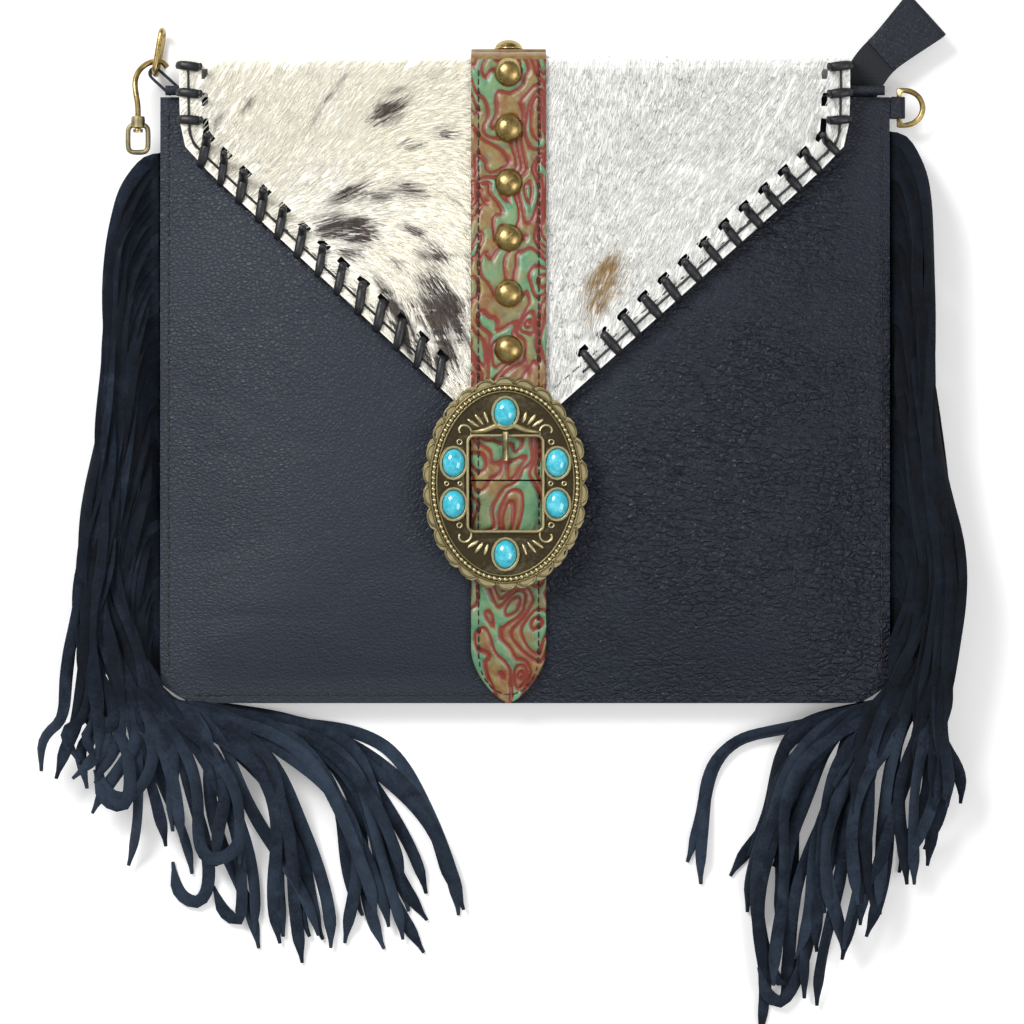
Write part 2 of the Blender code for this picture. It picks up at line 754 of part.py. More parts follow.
def make_zip():
    """Two toothed tapes inside the mouth, the slider between them and its puller."""
    tip = MOUTH_Y - 0.002
    low = tip - ZIP_WIDTH
    outline = comb(-ZIP_LEFT, ZIP_RIGHT, low, tip - TOOTH_LENGTH, tip)
    back = plate("zip_tape_back", [outline], ZIP_THICKNESS, TAPE)
    back_top = LEATHER + LAP_RISE + GAP + ZIP_THICKNESS
    back.location = (0, 0, back_top - ZIP_THICKNESS / 2)
    front = plate("zip_tape_front", [outline], ZIP_THICKNESS, TAPE)
    front_low = front_height(-ZIP_LEFT, MOUTH_Y) - LEATHER / 2 - GAP - ZIP_THICKNESS
    front.location = (0, 0, front_low + ZIP_THICKNESS / 2)

    half = SLIDER_LENGTH / 2
    bar_low, bar_high = back_top - ZIP_THICKNESS, front_low + ZIP_THICKNESS - GAP
    bar_y = tip + GAP
    slider = block(
        "zip_slider",
        (SLIDER_X - half, bar_y, bar_low),
        (SLIDER_X + half, bar_y + 0.0014, bar_high),
        BRASS,
    )
    core = block(
        "slider core",
        (SLIDER_X - half * 0.9, tip - 0.0065, back_top + GAP),
        (SLIDER_X + half * 0.9, bar_y + 0.0004, front_low - GAP),
        BRASS,
    )
    combine(slider, core, "UNION")
    pin_y = bar_y + 0.0014 + GAP + PULLER_RADIUS
    for i, (z0, z1) in enumerate(((bar_low, bar_low + 0.001), (bar_high - 0.001, bar_high))):
        ear = block(
            f"slider ear {i}",
            (SLIDER_X - PULLER_RADIUS, bar_y + 0.0010, z0),
            (SLIDER_X + PULLER_RADIUS, pin_y + PULLER_PIN + 0.0006, z1),
            BRASS,
        )
        combine(slider, ear, "UNION")
    pin = [(SLIDER_X, pin_y, bar_low + 0.0004), (SLIDER_X, pin_y, bar_high - 0.0004)]
    combine(slider, wire("puller pin", pin, PULLER_PIN, BRASS), "UNION")

    outline = []
    for step in range(9):
        turn = math.pi / 2 + math.pi * step / 8
        outline.append((PULLER_RADIUS * math.cos(turn), PULLER_RADIUS * math.sin(turn)))
    end = PULLER_REACH - PULLER_RADIUS * 0.8
    for step in range(7):
        turn = -math.pi / 2 + math.pi * step / 6
        grip = PULLER_RADIUS * 0.8
        outline.append((end + grip * math.cos(turn), grip * math.sin(turn)))
    hole = ellipse(2 * (PULLER_PIN + GAP), 2 * (PULLER_PIN + GAP), 12)
    thickness = bar_high - bar_low - 0.002 - 2 * GAP
    puller = plate("zip_puller", [outline, hole], thickness, BRASS)
    puller.location = (SLIDER_X, pin_y, (bar_low + bar_high) / 2)
    return slider, puller


def bezier(points, count):
    a, b, c, d = (np.array(point) for point in points)
    ts = np.linspace(0, 1, count)[:, None]
    return (1 - ts) ** 3 * a + 3 * (1 - ts) ** 2 * ts * b + 3 * (1 - ts) * ts**2 * c + ts**3 * d


def across_rows(path, widths, heights):
    """Rows of three points square to a flat path."""
    rows = []
    for i, place in enumerate(path):
        run = path[min(i + 1, len(path) - 1)] - path[max(i - 1, 0)]
        run = run / np.linalg.norm(run)
        normal = np.array([-run[1], run[0]])
        rows.append([(*(place + normal * widths[i] * k / 2), heights[i]) for k in (-1, 0, 1)])
    return rows


def make_zip_end():
    """The zip's tail comes out at the right of the mouth and ends in a folded leather tab."""
    level = SEAM_HEIGHT
    start = np.array([HALF_WIDTH - 0.0205, MOUTH_Y - 0.0070])
    neck = np.array([HALF_WIDTH - 0.0030, MOUTH_Y + 0.0145])
    heading = np.array([0.74, 0.67])
    path = bezier((start, start + (0.008, 0.001), neck - heading * 0.010, neck), 9)
    overlap = 0.005
    path = np.vstack([path, [neck + heading * overlap]])
    rows = across_rows(path, [TAIL_WIDTH] * len(path), [level] * len(path))
    sheet("zip_tail", rows, TAIL_THICKNESS, TAPE)

    layer = TAIL_THICKNESS / 2 + GAP + TAB_LEATHER / 2
    reach = 0.0205
    spots, widths, heights = [], [], []
    for t in (0, 0.12, 0.3, 0.6, 0.85, 1):
        spots.append(neck + heading * (reach * t))
        widths.append(TAIL_WIDTH - 0.001 + 0.0065 * t + 0.0012 * (t == 0))
        heights.append(level + layer)
    for step in range(1, 4):
        turn = math.pi / 2 - math.pi * step / 4
        spots.append(neck + heading * (reach + layer * math.cos(turn)))
        widths.append(widths[5])
        heights.append(level + layer * math.sin(turn))
    for t in (1, 0.85, 0.6, 0.3, 0.12, 0):
        spots.append(neck + heading * (reach * t))
        widths.append(TAIL_WIDTH - 0.001 + 0.0065 * t + 0.0012 * (t == 0))
        heights.append(level - layer)
    rows = []
    normal = np.array([-heading[1], heading[0]])
    for spot, width, height in zip(spots, widths, heights):
        rows.append([(*(spot + normal * width * k / 2), height) for k in (-1, 0, 1)])
    sheet("zip_end_tab", rows, TAB_LEATHER, LEATHER_DARK)


def hairpin(name, root, bar, axis, span):
    """A strip of leather folded round a ring's bar, with both ends at its root."""
    root, bar, axis = Vector(root), Vector(bar), Vector(axis)
    heading = (bar - root).normalized()
    side = axis.cross(heading)
    radius = RING_RADIUS + GAP + TAB_LEATHER / 2
    path = [root + side * radius]
    for step in range(9):
        turn = math.pi / 2 - math.pi * step / 8
        path.append(bar + heading * radius * math.cos(turn) + side * radius * math.sin(turn))
    path.append(root - side * radius)
    rows = [[spot + axis * (span * k / 2) for k in (-1, 1)] for spot in path]
    return sheet(name, rows, TAB_LEATHER, LEATHER_DARK)


def make_right_ring():
    """A D ring in a leather loop at the right seam. Its empty lies on the bar."""
    root = (HALF_WIDTH + GAP, D_RING_Y, SEAM_HEIGHT)
    bar = (HALF_WIDTH + GAP + RIGHT_TAB_LENGTH, D_RING_Y, SEAM_HEIGHT)
    hairpin("ring_tab_right", root, bar, (0, 1, 0), RIGHT_TAB_WIDTH)
    half = D_RING_HEIGHT / 2
    points = []
    for step in range(15):
        turn = math.pi * step / 14
        out = D_RING_DEPTH * math.sin(turn) ** 0.75
        points.append((bar[0] + out, bar[1] + half * math.cos(turn), bar[2]))
    ring = wire("ring_right", points, RING_RADIUS, BRASS, True)
    carry(pivot_at("ring right hinge", bar), ring)


LEFT_TAB_ROOT = Vector((-(HALF_WIDTH - 0.0045), MOUTH_Y + 0.0025, 0.0072))
LEFT_BAR = Vector((-(HALF_WIDTH + 0.0020), MOUTH_Y + 0.0084, 0.0072))
LEFT_RING_RUN = Vector((0.17, 0.985, 0)).normalized()
CLASP_END = Vector((-(HALF_WIDTH + 0.0075), MOUTH_Y - 0.0070, CLASP_HEIGHT))


def make_left_ring():
    """An oval ring on edge in a leather loop. Its empty lies on the bar inside the loop."""
    hairpin("ring_tab_left", LEFT_TAB_ROOT, LEFT_BAR, (0, 0, 1), LEFT_TAB_HEIGHT)
    length = OVAL_LENGTH - 2 * RING_RADIUS
    height = OVAL_HEIGHT - 2 * RING_RADIUS
    points = []
    for along, up in rounded_box(length, height, 0.0024):
        spot = LEFT_BAR + LEFT_RING_RUN * (along + length / 2)
        points.append((spot.x, spot.y, spot.z + up))
    ring = wire("ring_left", points, RING_RADIUS, BRASS, True)
    carry(pivot_at("ring left hinge", LEFT_BAR), ring)


def make_clasp():
    """A snap hook through the oval ring, and the swivel eye that turned on its shank."""
    through = LEFT_BAR + LEFT_RING_RUN * (2 * RING_RADIUS + 2 * GAP + TAB_LEATHER + CLASP_RADIUS / 2)
    through.z = 0.0094
    end = CLASP_END
    shank = end.y - COLLAR_LENGTH - 0.0008
    knots = [
        through + Vector((0.0036, -0.0022, -0.0003)),
        through + Vector((0.0021, -0.0002, -0.0001)),
        through,
        through + Vector((-0.0032, -0.0006, 0.0006)),
        through + Vector((-0.0064, -0.0034, 0.0018)),
        Vector((end.x - 0.0014, end.y + 0.0120, end.z - 0.0010)),
        Vector((end.x - 0.0006, end.y + 0.0070, end.z)),
        Vector((end.x, end.y + 0.0035, end.z)),
        Vector((end.x, end.y, end.z)),
        Vector((end.x, shank, end.z)),
    ]
    path = soften([tuple(knot) for knot in knots], 1)
    hook = wire("clasp_hook", path, CLASP_RADIUS, BRASS)
    head = wire(
        "shank head",
        [(end.x, shank + 0.0004, end.z), (end.x, shank - 0.0008, end.z)],
        CLASP_RADIUS + 0.0008,
        BRASS,
    )
    combine(hook, head, "UNION")
    low = end.y - COLLAR_LENGTH
    eye = wire(
        "clasp_eye", [(end.x, end.y, end.z), (end.x, low, end.z)], COLLAR_RADIUS, BRONZE
    )
    wire_radius = 0.0010
    outline = rounded_box(EYE_WIDTH - 2 * wire_radius, EYE_LENGTH - 2 * wire_radius, 0.0020)
    middle = low + 0.0010 - EYE_LENGTH / 2 + wire_radius
    points = [(end.x + x, middle + y, end.z) for x, y in outline]
    combine(eye, wire("eye loop", points, wire_radius, BRONZE, True), "UNION")
    bore = [(end.x, end.y + 0.001, end.z), (end.x, low - 0.0005, end.z)]
    combine(eye, wire("eye bore", bore, CLASP_RADIUS + GAP, BRONZE), "DIFFERENCE")
    carry(pivot_at("clasp swivel", (end.x, end.y - COLLAR_LENGTH / 2, end.z)), eye)


def soften(points, rounds):
    """Corner cutting: a smooth curve that starts and ends where the points do."""
    line = [np.array(point, float) for point in points]
    for _ in range(rounds):
        cut = [line[0]]
        for a, b in zip(line, line[1:]):
            cut += [0.75 * a + 0.25 * b, 0.25 * a + 0.75 * b]
        line = cut + [line[-1]]
    return line


def resample(points, step):
    """(points, distances) at even steps along a line."""
    points = np.array(points)
    lengths = np.concatenate([[0], np.cumsum(np.linalg.norm(np.diff(points, axis=0), axis=1))])
    along = np.linspace(0, lengths[-1], max(3, int(lengths[-1] / step) + 1))
    return np.stack([np.interp(along, lengths, points[:, k]) for k in (0, 1)], 1), along


# How far the fringe reaches beyond the seam at heights down the bag, and where its tips lie,
# from the top strand to the lowest one
LEFT_REACH = ((0.080, 0.014), (0.000, 0.020), (-0.030, 0.024), (-0.085, 0.033), (-0.130, 0.035))
LEFT_TIPS = (
    (0.157, -0.124), (0.149, -0.134), (0.128, -0.160), (0.103, -0.170),
    (0.082, -0.198), (0.058, -0.182), (0.039, -0.187), (0.024, -0.168),
)
RIGHT_REACH = ((0.080, 0.012), (0.055, 0.014), (-0.020, 0.014), (-0.060, 0.025), (-0.110, 0.020))
RIGHT_TIPS = (
    (0.134, -0.140), (0.137, -0.170), (0.126, -0.164), (0.115, -0.186),
    (0.100, -0.200), (0.085, -0.212), (0.089, -0.165), (0.060, -0.166),
)


class Terrain:
    """The height of what already lies on the surface, on a grid of square cells."""

    def __init__(self):
        self.low = np.array([-0.20, -0.26])
        self.height = np.zeros((200, 200))
        self.near = self.disc(STRAND_WIDTH / 2 + 0.0010)
        self.under = self.disc(STRAND_WIDTH / 2 + 0.0004)

    def disc(self, radius):
        reach = int(radius / TERRAIN_CELL) + 1
        steps = range(-reach, reach + 1)
        return [(i, j) for i in steps for j in steps if math.hypot(i, j) * TERRAIN_CELL <= radius]

    def cells(self, place, disc):
        column, row = ((place - self.low) / TERRAIN_CELL).astype(int)
        for i, j in disc:
            yield min(199, max(0, column + i)), min(199, max(0, row + j))

    def below(self, place):
        return max(self.height[cell] for cell in self.cells(place, self.near))

    def raise_to(self, place, top):
        for cell in self.cells(place, self.under):
            self.height[cell] = max(self.height[cell], top)


def strand_route(share, reach, tips, push, dice):
    """A strand seen from above, for the right side: out of the seam, down beside it, to its tip."""
    top = MOUTH_Y - FRINGE_TOP_DROP
    span = BODY_HEIGHT - FRINGE_TOP_DROP - FRINGE_BOTTOM_RISE
    start = top - share * span
    edge = HALF_WIDTH - GAP
    spots = [(edge, start), (edge + 0.002, start), (edge + 0.006, start - 0.001)]
    heights, widths = zip(*reversed(reach))
    for drop in (0.014, 0.040, 0.075, 0.110, 0.145, 0.175):
        y = start - drop
        if y < BOTTOM_Y + 0.012:
            break
        lane = 1 - share / ((top - y) / span)
        out = 0.004 + np.interp(y, heights, widths) * lane**0.55
        spots.append((HALF_WIDTH + out + dice.normal(0, 0.0018), y + dice.normal(0, 0.002)))
    places = np.linspace(0, 1, len(tips))
    tip_x = np.interp(share, places, [tip[0] for tip in tips]) + dice.normal(0, 0.005)
    tip_y = np.interp(share, places, [tip[1] for tip in tips]) + dice.normal(0, 0.006)
    corner = HALF_WIDTH + 0.022 - 0.052 * share + dice.normal(0, 0.003) + push
    if start > BOTTOM_Y + 0.02:
        spots.append((min(corner, spots[-1][0]), BOTTOM_Y - 0.004))
    else:
        spots.append((corner, BOTTOM_Y - 0.006))
    spots.append(((corner + 2 * tip_x) / 3 + dice.normal(0, 0.008), (BOTTOM_Y + tip_y) / 2))
    spots.append((tip_x, tip_y))
    if dice.random() < 0.4:
        bend = dice.choice((-1, 1))
        spots.append((tip_x + bend * 0.011, tip_y + 0.002))
        spots.append((tip_x + bend * 0.014, tip_y + 0.014))
    return spots


def flexed(points, along, dice):
    """Adds a slow sideways wave to a strand that is short of its length, and cuts a long one."""
    total = along[-1]
    phase = dice.uniform(0, 6.28)
    if total < STRAND_LENGTH:
        size = min(0.0045, 0.010 * math.sqrt(1 - total / STRAND_LENGTH))
        run = np.gradient(points, axis=0)
        run /= np.linalg.norm(run, axis=1)[:, None]
        wave = size * np.sin(along / 0.0120 + phase)
        wave *= np.array([smooth((s - 0.05) / 0.06) for s in along])
        points = points + np.stack([-run[:, 1], run[:, 0]], 1) * wave[:, None]
    points, along = resample(points, 0.002)
    keep = along <= STRAND_LENGTH * dice.uniform(0.93, 1.05)
    return points[keep], along[keep]


def strand_heights(points, along, terrain):
    """The strand's underside: level in the seam, then drooping onto what lies below it."""
    base = np.array([terrain.below(p) for p in points])
    base *= np.array([smooth((s - 0.003) / 0.008) for s in along])
    slope = 0.35
    bridged = (base[None, :] - slope * np.abs(along[:, None] - along[None, :])).max(axis=1)
    kernel = np.ones(5) / 5
    eased = np.convolve(np.pad(bridged, 2, mode="edge"), kernel, mode="valid")
    under = np.maximum(eased, base)
    root = SEAM_HEIGHT - SUEDE / 2
    droop = root * (1 - np.clip((along - 0.0015) / DROOP_LENGTH, 0, 1) ** 2)
    under = np.maximum(under, np.minimum(root, droop))
    return np.minimum(under, root + 0.6 * np.maximum(0, along - 0.004))


def fits_under_bag(points, along, under, side):
    """True where each stretch that runs below the bag has room under its back panel."""
    for (x, y), s, low in zip(points, along, under):
        if s < 0.004 or rim_distance(x, y) < -STRAND_WIDTH / 2 - 0.0008:
            continue
        near = [(x + dx, y + dy) for dx in (-0.0024, 0, 0.0024) for dy in (-0.0024, 0, 0.0024)]
        inside = [spot for spot in near if rim_distance(*spot) > -0.0004]
        for spot in inside:
            if low + SUEDE + GAP > back_height(*spot) - LEATHER / 2:
                return False
    return True


def laid_strand(share, side, reach, tips, terrain, seed):
    """One strand's samples (x, y, underside), moved out from the bag until it fits."""
    for push in np.arange(0, 0.040, 0.003):
        dice = np.random.default_rng(seed)
        spots = strand_route(share, reach, tips, push, dice)
        points, along = resample(soften(spots, 4), 0.002)
        points, along = flexed(points, along, dice)
        placed = points * (side, 1)
        under = strand_heights(placed, along, terrain)
        if fits_under_bag(points, along, under, side):
            break
    for spot, low in zip(placed, under):
        packing = max(0.12, 1 - max(0, low - PILE_LOOSE) / PILE_PACKED)
        terrain.raise_to(spot, low + (SUEDE + GAP) * packing)
    return placed, along, under, dice


def sections_of(placed, along, under):
    """Places along a strand for its cross-sections, closer together where it bends."""
    line = np.column_stack([placed, under])
    run = np.gradient(line, axis=0)
    run /= np.linalg.norm(run, axis=1)[:, None]
    turning = np.linalg.norm(np.gradient(run, axis=0), axis=1)
    weight = np.cumsum(0.35 + 4.0 * turning)
    weight = (weight - weight[0]) / (weight[-1] - weight[0])
    spread_out = np.interp(np.linspace(0, 1, STRAND_SECTIONS), weight, along)
    return np.concatenate([[0, 0.003], spread_out[1:]])


def make_fringe(name, side, reach, tips, seed):
    """A header in the side seam, cut below into strands that lie where they fell."""
    terrain = Terrain()
    form = bmesh.new()
    following = None
    inner = side * (HALF_WIDTH - HEADER_WIDTH - GAP)
    for index in reversed(range(STRAND_COUNT)):
        share = index / (STRAND_COUNT - 1)
        placed, along, under, dice = laid_strand(
            share, side, reach, tips, terrain, seed + index
        )
        phase, twist = dice.uniform(0, 6.28), dice.uniform(0.15, 0.45)
        line = None
        for s in sections_of(placed, along, under):
            place = np.array([np.interp(s, along, placed[:, k]) for k in (0, 1)])
            ahead = np.array([np.interp(s + 0.002, along, placed[:, k]) for k in (0, 1)])
            behind = np.array([np.interp(s - 0.002, along, placed[:, k]) for k in (0, 1)])
            run = (ahead - behind) / max(1e-9, np.linalg.norm(ahead - behind))
            outside = smooth((-rim_distance(*place) - 0.003) / 0.004)
            roll = twist * math.sin(s / 0.02 + phase) * smooth((s - 0.006) / 0.02) * outside
            half = STRAND_WIDTH / 2 * (1 - 0.25 * smooth((s - along[-1] + 0.006) / 0.006))
            level = np.interp(s, along, under) + SUEDE / 2 + abs(math.sin(roll)) * half
            normal = np.array([-run[1], run[0]]) * math.cos(roll) * half
            rise = math.sin(roll) * half
            pair = [
                form.verts.new((*(place + normal), level + rise)),
                form.verts.new((*(place - normal), level - rise)),
            ]
            if side < 0:
                pair.reverse()
            if line:
                form.faces.new((line[0], pair[0], pair[1], line[1]))
            else:
                root = [form.verts.new((inner, v.co.y, SEAM_HEIGHT)) for v in pair]
                form.faces.new((root[0], pair[0], pair[1], root[1]))
                if following:
                    form.faces.new((root[1], pair[1], following[1], following[0]))
                following = (root[0], pair[0])
            line = pair
    return thickened(name, form, SUEDE, SUEDE_NAVY)


def build():
    for old in list(bpy.data.objects):
        bpy.data.objects.remove(old)
    make_panels()
    make_lining()
    make_yoke()
    flap = sheet("flap_hide", flap_rows(), FLAP_THICKNESS, HIDE)
    laces = [make_lacing("lacing_left", -1, flap), make_lacing("lacing_right", 1, flap)]
    fold = pivot_at("flap hinge", (0, FOLD_Y, FOLD_HEIGHT))
    carry(fold, flap, *laces, *make_straps(), *make_studs(), *make_concho())
    slider, puller = make_zip()
    runner = pivot_at("zip runner", (SLIDER_X, MOUTH_Y, 0))
    carry(runner, slider)
    carry(pivot_at("puller hinge", puller.location), puller)
    make_zip_end()
    make_right_ring()
    make_left_ring()
    make_clasp()
    make_fringe("fringe_left", -1, LEFT_REACH, LEFT_TIPS, 100)
    make_fringe("fringe_right", 1, RIGHT_REACH, RIGHT_TIPS, 300)


build()
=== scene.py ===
"""Fringed flap bag, dressed around its CAD frame in leather, hair-on hide and suede fringe.

The bag lies on its back, as in the photograph: +X right, +Y towards the fold, +Z up, in metres.
"""

import math
import random

import bmesh
import bpy
import numpy as np
from mathutils import Matrix, Vector, noise
from mathutils.bvhtree import BVHTree


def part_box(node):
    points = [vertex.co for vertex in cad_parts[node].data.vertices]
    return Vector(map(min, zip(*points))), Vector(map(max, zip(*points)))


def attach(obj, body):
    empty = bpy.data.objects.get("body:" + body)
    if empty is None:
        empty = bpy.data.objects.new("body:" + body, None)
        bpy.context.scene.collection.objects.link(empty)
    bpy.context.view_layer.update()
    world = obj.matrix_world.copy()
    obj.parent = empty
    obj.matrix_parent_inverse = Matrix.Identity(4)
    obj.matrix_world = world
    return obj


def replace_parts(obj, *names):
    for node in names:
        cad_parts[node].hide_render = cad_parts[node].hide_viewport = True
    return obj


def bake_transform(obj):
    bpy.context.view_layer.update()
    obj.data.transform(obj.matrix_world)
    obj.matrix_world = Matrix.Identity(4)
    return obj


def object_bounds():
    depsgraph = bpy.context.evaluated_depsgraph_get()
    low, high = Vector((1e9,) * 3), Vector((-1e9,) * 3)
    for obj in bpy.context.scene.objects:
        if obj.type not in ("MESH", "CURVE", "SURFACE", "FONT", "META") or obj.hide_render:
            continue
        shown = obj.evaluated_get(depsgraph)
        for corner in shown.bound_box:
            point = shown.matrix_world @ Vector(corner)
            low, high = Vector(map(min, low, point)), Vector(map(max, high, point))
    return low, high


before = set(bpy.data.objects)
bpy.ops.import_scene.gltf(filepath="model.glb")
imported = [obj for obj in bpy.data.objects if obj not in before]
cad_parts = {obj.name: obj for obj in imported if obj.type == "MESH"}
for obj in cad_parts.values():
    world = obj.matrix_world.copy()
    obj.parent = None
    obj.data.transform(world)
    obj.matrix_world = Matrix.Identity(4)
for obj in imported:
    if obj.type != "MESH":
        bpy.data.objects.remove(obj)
cad_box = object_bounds()

MM = 0.001

# Places that the CAD nodes give
FLAP_LOW, FLAP_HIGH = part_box("flap_hide")
STRAP_LOW, STRAP_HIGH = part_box("strap_upper")
TIP_LOW, TIP_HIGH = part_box("strap_tip")
CONCHO_LOW, CONCHO_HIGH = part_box("concho")
BODY_LOW, BODY_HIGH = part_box("front_panel")
STRAP_MID = (STRAP_LOW.x + STRAP_HIGH.x) / 2
STRAP_HALF = (STRAP_HIGH.x - STRAP_LOW.x) / 2
CONCHO_MID = (CONCHO_LOW + CONCHO_HIGH) / 2


def linear(code):
    """An sRGB hex colour as the linear RGBA that Blender's sockets take."""
    shades = [int(code[i : i + 2], 16) / 255 for i in (1, 3, 5)]
    return (*[s / 12.92 if s <= 0.04045 else ((s + 0.055) / 1.055) ** 2.4 for s in shades], 1)


def add_node(tree, kind, inputs=None, **settings):
    """Adds a node: inputs are its socket values or the outputs linked to them, settings its properties."""
    made = tree.nodes.new(kind)
    for name, value in settings.items():
        setattr(made, name, value)
    for socket, value in (inputs or {}).items():
        if isinstance(value, bpy.types.NodeSocket):
            tree.links.new(value, made.inputs[socket])
        else:
            made.inputs[socket].default_value = value
    return made


def start_material(name, **shader_values):
    """A material with its node tree, its Principled shader and Object coordinates."""
    made = bpy.data.materials.new(name)
    made.use_nodes = True
    tree = made.node_tree
    shader = tree.nodes["Principled BSDF"]
    for socket, value in shader_values.items():
        shader.inputs[socket.replace("_", " ")].default_value = value
    place = add_node(tree, "ShaderNodeTexCoord").outputs["Object"]
    return made, tree, shader, place


def ramp(tree, factor, stops):
    """A colour ramp over factor, from (position, hex colour) pairs."""
    made = add_node(tree, "ShaderNodeValToRGB", {"Fac": factor})
    band = made.color_ramp
    while len(band.elements) < len(stops):
        band.elements.new(0.5)
    for element, (position, code) in zip(band.elements, stops):
        element.position = position
        element.color = linear(code)
    return made.outputs["Color"]


def blend_colors(tree, factor, first, second, how="MIX"):
    made = add_node(tree, "ShaderNodeMix", data_type="RGBA", blend_type=how)
    for index, value in ((0, factor), (6, first), (7, second)):
        if isinstance(value, bpy.types.NodeSocket):
            tree.links.new(value, made.inputs[index])
        else:
            made.inputs[index].default_value = value
    return made.outputs[2]


def stretched(tree, place, scale, turn=(0, 0, 0)):
    """Coordinates scaled per axis, for a pattern that is longer one way."""
    made = add_node(tree, "ShaderNodeMapping", {"Vector": place, "Scale": scale, "Rotation": turn})
    return made.outputs["Vector"]


def fine_noise(tree, place, size, detail=3.0, rough=0.5, warp=0.0):
    """Noise whose grains are about size metres across, 0 to 1."""
    values = {"Vector": place, "Scale": 1 / size, "Detail": detail, "Roughness": rough, "Distortion": warp}
    return add_node(tree, "ShaderNodeTexNoise", values).outputs["Fac"]


def cells(tree, place, size, feature="F1", random_place=1.0):
    values = {"Vector": place, "Scale": 1 / size, "Randomness": random_place}
    return add_node(tree, "ShaderNodeTexVoronoi", values, feature=feature).outputs["Distance"]


def maths(tree, operation, first, second=0.0, clamp=False):
    made = add_node(tree, "ShaderNodeMath", {0: first, 1: second}, operation=operation, use_clamp=clamp)
    return made.outputs["Value"]


def between(tree, value, low, high, to_low=0.0, to_high=1.0):
    """value carried from low..high to to_low..to_high, held at both ends."""
    values = {"Value": value, "From Min": low, "From Max": high, "To Min": to_low, "To Max": to_high}
    return add_node(tree, "ShaderNodeMapRange", values).outputs["Result"]


def bump(tree, shader, height, depth, strength=1.0, under=None):
    values = {"Height": height, "Distance": depth, "Strength": strength}
    if under:
        values["Normal"] = under
    made = add_node(tree, "ShaderNodeBump", values)
    tree.links.new(made.outputs["Normal"], shader.inputs["Normal"])
    return made.outputs["Normal"]


def parts_of(tree, place):
    split = add_node(tree, "ShaderNodeSeparateXYZ", {"Vector": place})
    return split.outputs["X"], split.outputs["Y"], split.outputs["Z"]


def drummed_leather(name, creased=True, pale="#262c37", dark="#101726"):
    """Pigmented cowhide, drummed until it pebbles: semi-matt, with shallow grain and soft cross creases. Its colour
    holds painted shade: paler on the left, darker towards the right and in the creases.
    """
    made, tree, shader, place = start_material(name, Roughness=0.55, IOR=1.42)
    x = parts_of(tree, place)[0]
    # Base colour: a random cloud of tone, plus painted shade that runs from pale on the left to dark on the right, as
    # the light falls across the bag
    cloud = fine_noise(tree, place, 60 * MM, 4, 0.6)
    side = between(tree, x, -90 * MM, 60 * MM)
    cloud = maths(tree, "MULTIPLY", cloud, 0.45)
    shade = maths(tree, "ADD", maths(tree, "MULTIPLY", side, 0.75), cloud, clamp=True)
    base = ramp(tree, shade, [(0.12, pale), (0.55, "#1c2330"), (0.95, dark)])
    # Pebbles of 1.7 mm, drawn as the photograph shows them; the pores between them are finer than a pixel
    grain_place = stretched(tree, place, (1.0, 1.25, 1.0))
    pebble = between(tree, cells(tree, grain_place, 1.7 * MM, "DISTANCE_TO_EDGE"), 0.0, 0.22)
    pore = fine_noise(tree, place, 0.6 * MM, 2)
    # Creases run across the bag, 10 to 40 mm long and 3 mm apart, stronger on the right; their grooves get painted
    # shade
    warp = stretched(tree, place, (1.0, 1.9, 1.0), (0, 0, 0.12))
    bend = add_node(tree, "ShaderNodeTexNoise", {"Vector": warp, "Scale": 160.0, "Detail": 3.0})
    pushed = add_node(
        tree, "ShaderNodeVectorMath", {0: bend.outputs["Color"], 1: (0.006, 0.006, 0.0)}, operation="MULTIPLY"
    ).outputs[0]
    warp = add_node(tree, "ShaderNodeVectorMath", {0: warp, 1: pushed}, operation="ADD").outputs[0]
    groove = between(tree, cells(tree, warp, 3.6 * MM, "DISTANCE_TO_EDGE"), 0.0, 0.26)
    where = between(tree, fine_noise(tree, place, 45 * MM, 2), 0.36, 0.6, 0.15, 1.0)
    keep = maths(tree, "MULTIPLY", where, between(tree, x, -0.05, 0.03, 0.3, 1.0)) if creased else 0.15
    wear_and_crease_shade = maths(tree, "MULTIPLY", maths(tree, "SUBTRACT", 1.0, groove), keep)
    # Painted shade: the colour darkens towards near black in the crease grooves
    color = blend_colors(tree, maths(tree, "MULTIPLY", wear_and_crease_shade, 0.4), base, linear("#0b0f17"))
    color = blend_colors(tree, between(tree, pore, 0.55, 0.8, 0.0, 0.22), color, linear("#3a4252"))
    tree.links.new(color, shader.inputs["Base Color"])
    tree.links.new(between(tree, pebble, 0, 1, 0.66, 0.46), shader.inputs["Roughness"])
    low = bump(tree, shader, maths(tree, "SUBTRACT", 1.0, wear_and_crease_shade), 0.38 * MM)
    mid = bump(tree, shader, pebble, 0.16 * MM, 0.7, low)
    bump(tree, shader, pore, 0.05 * MM, 0.5, mid)
    return made


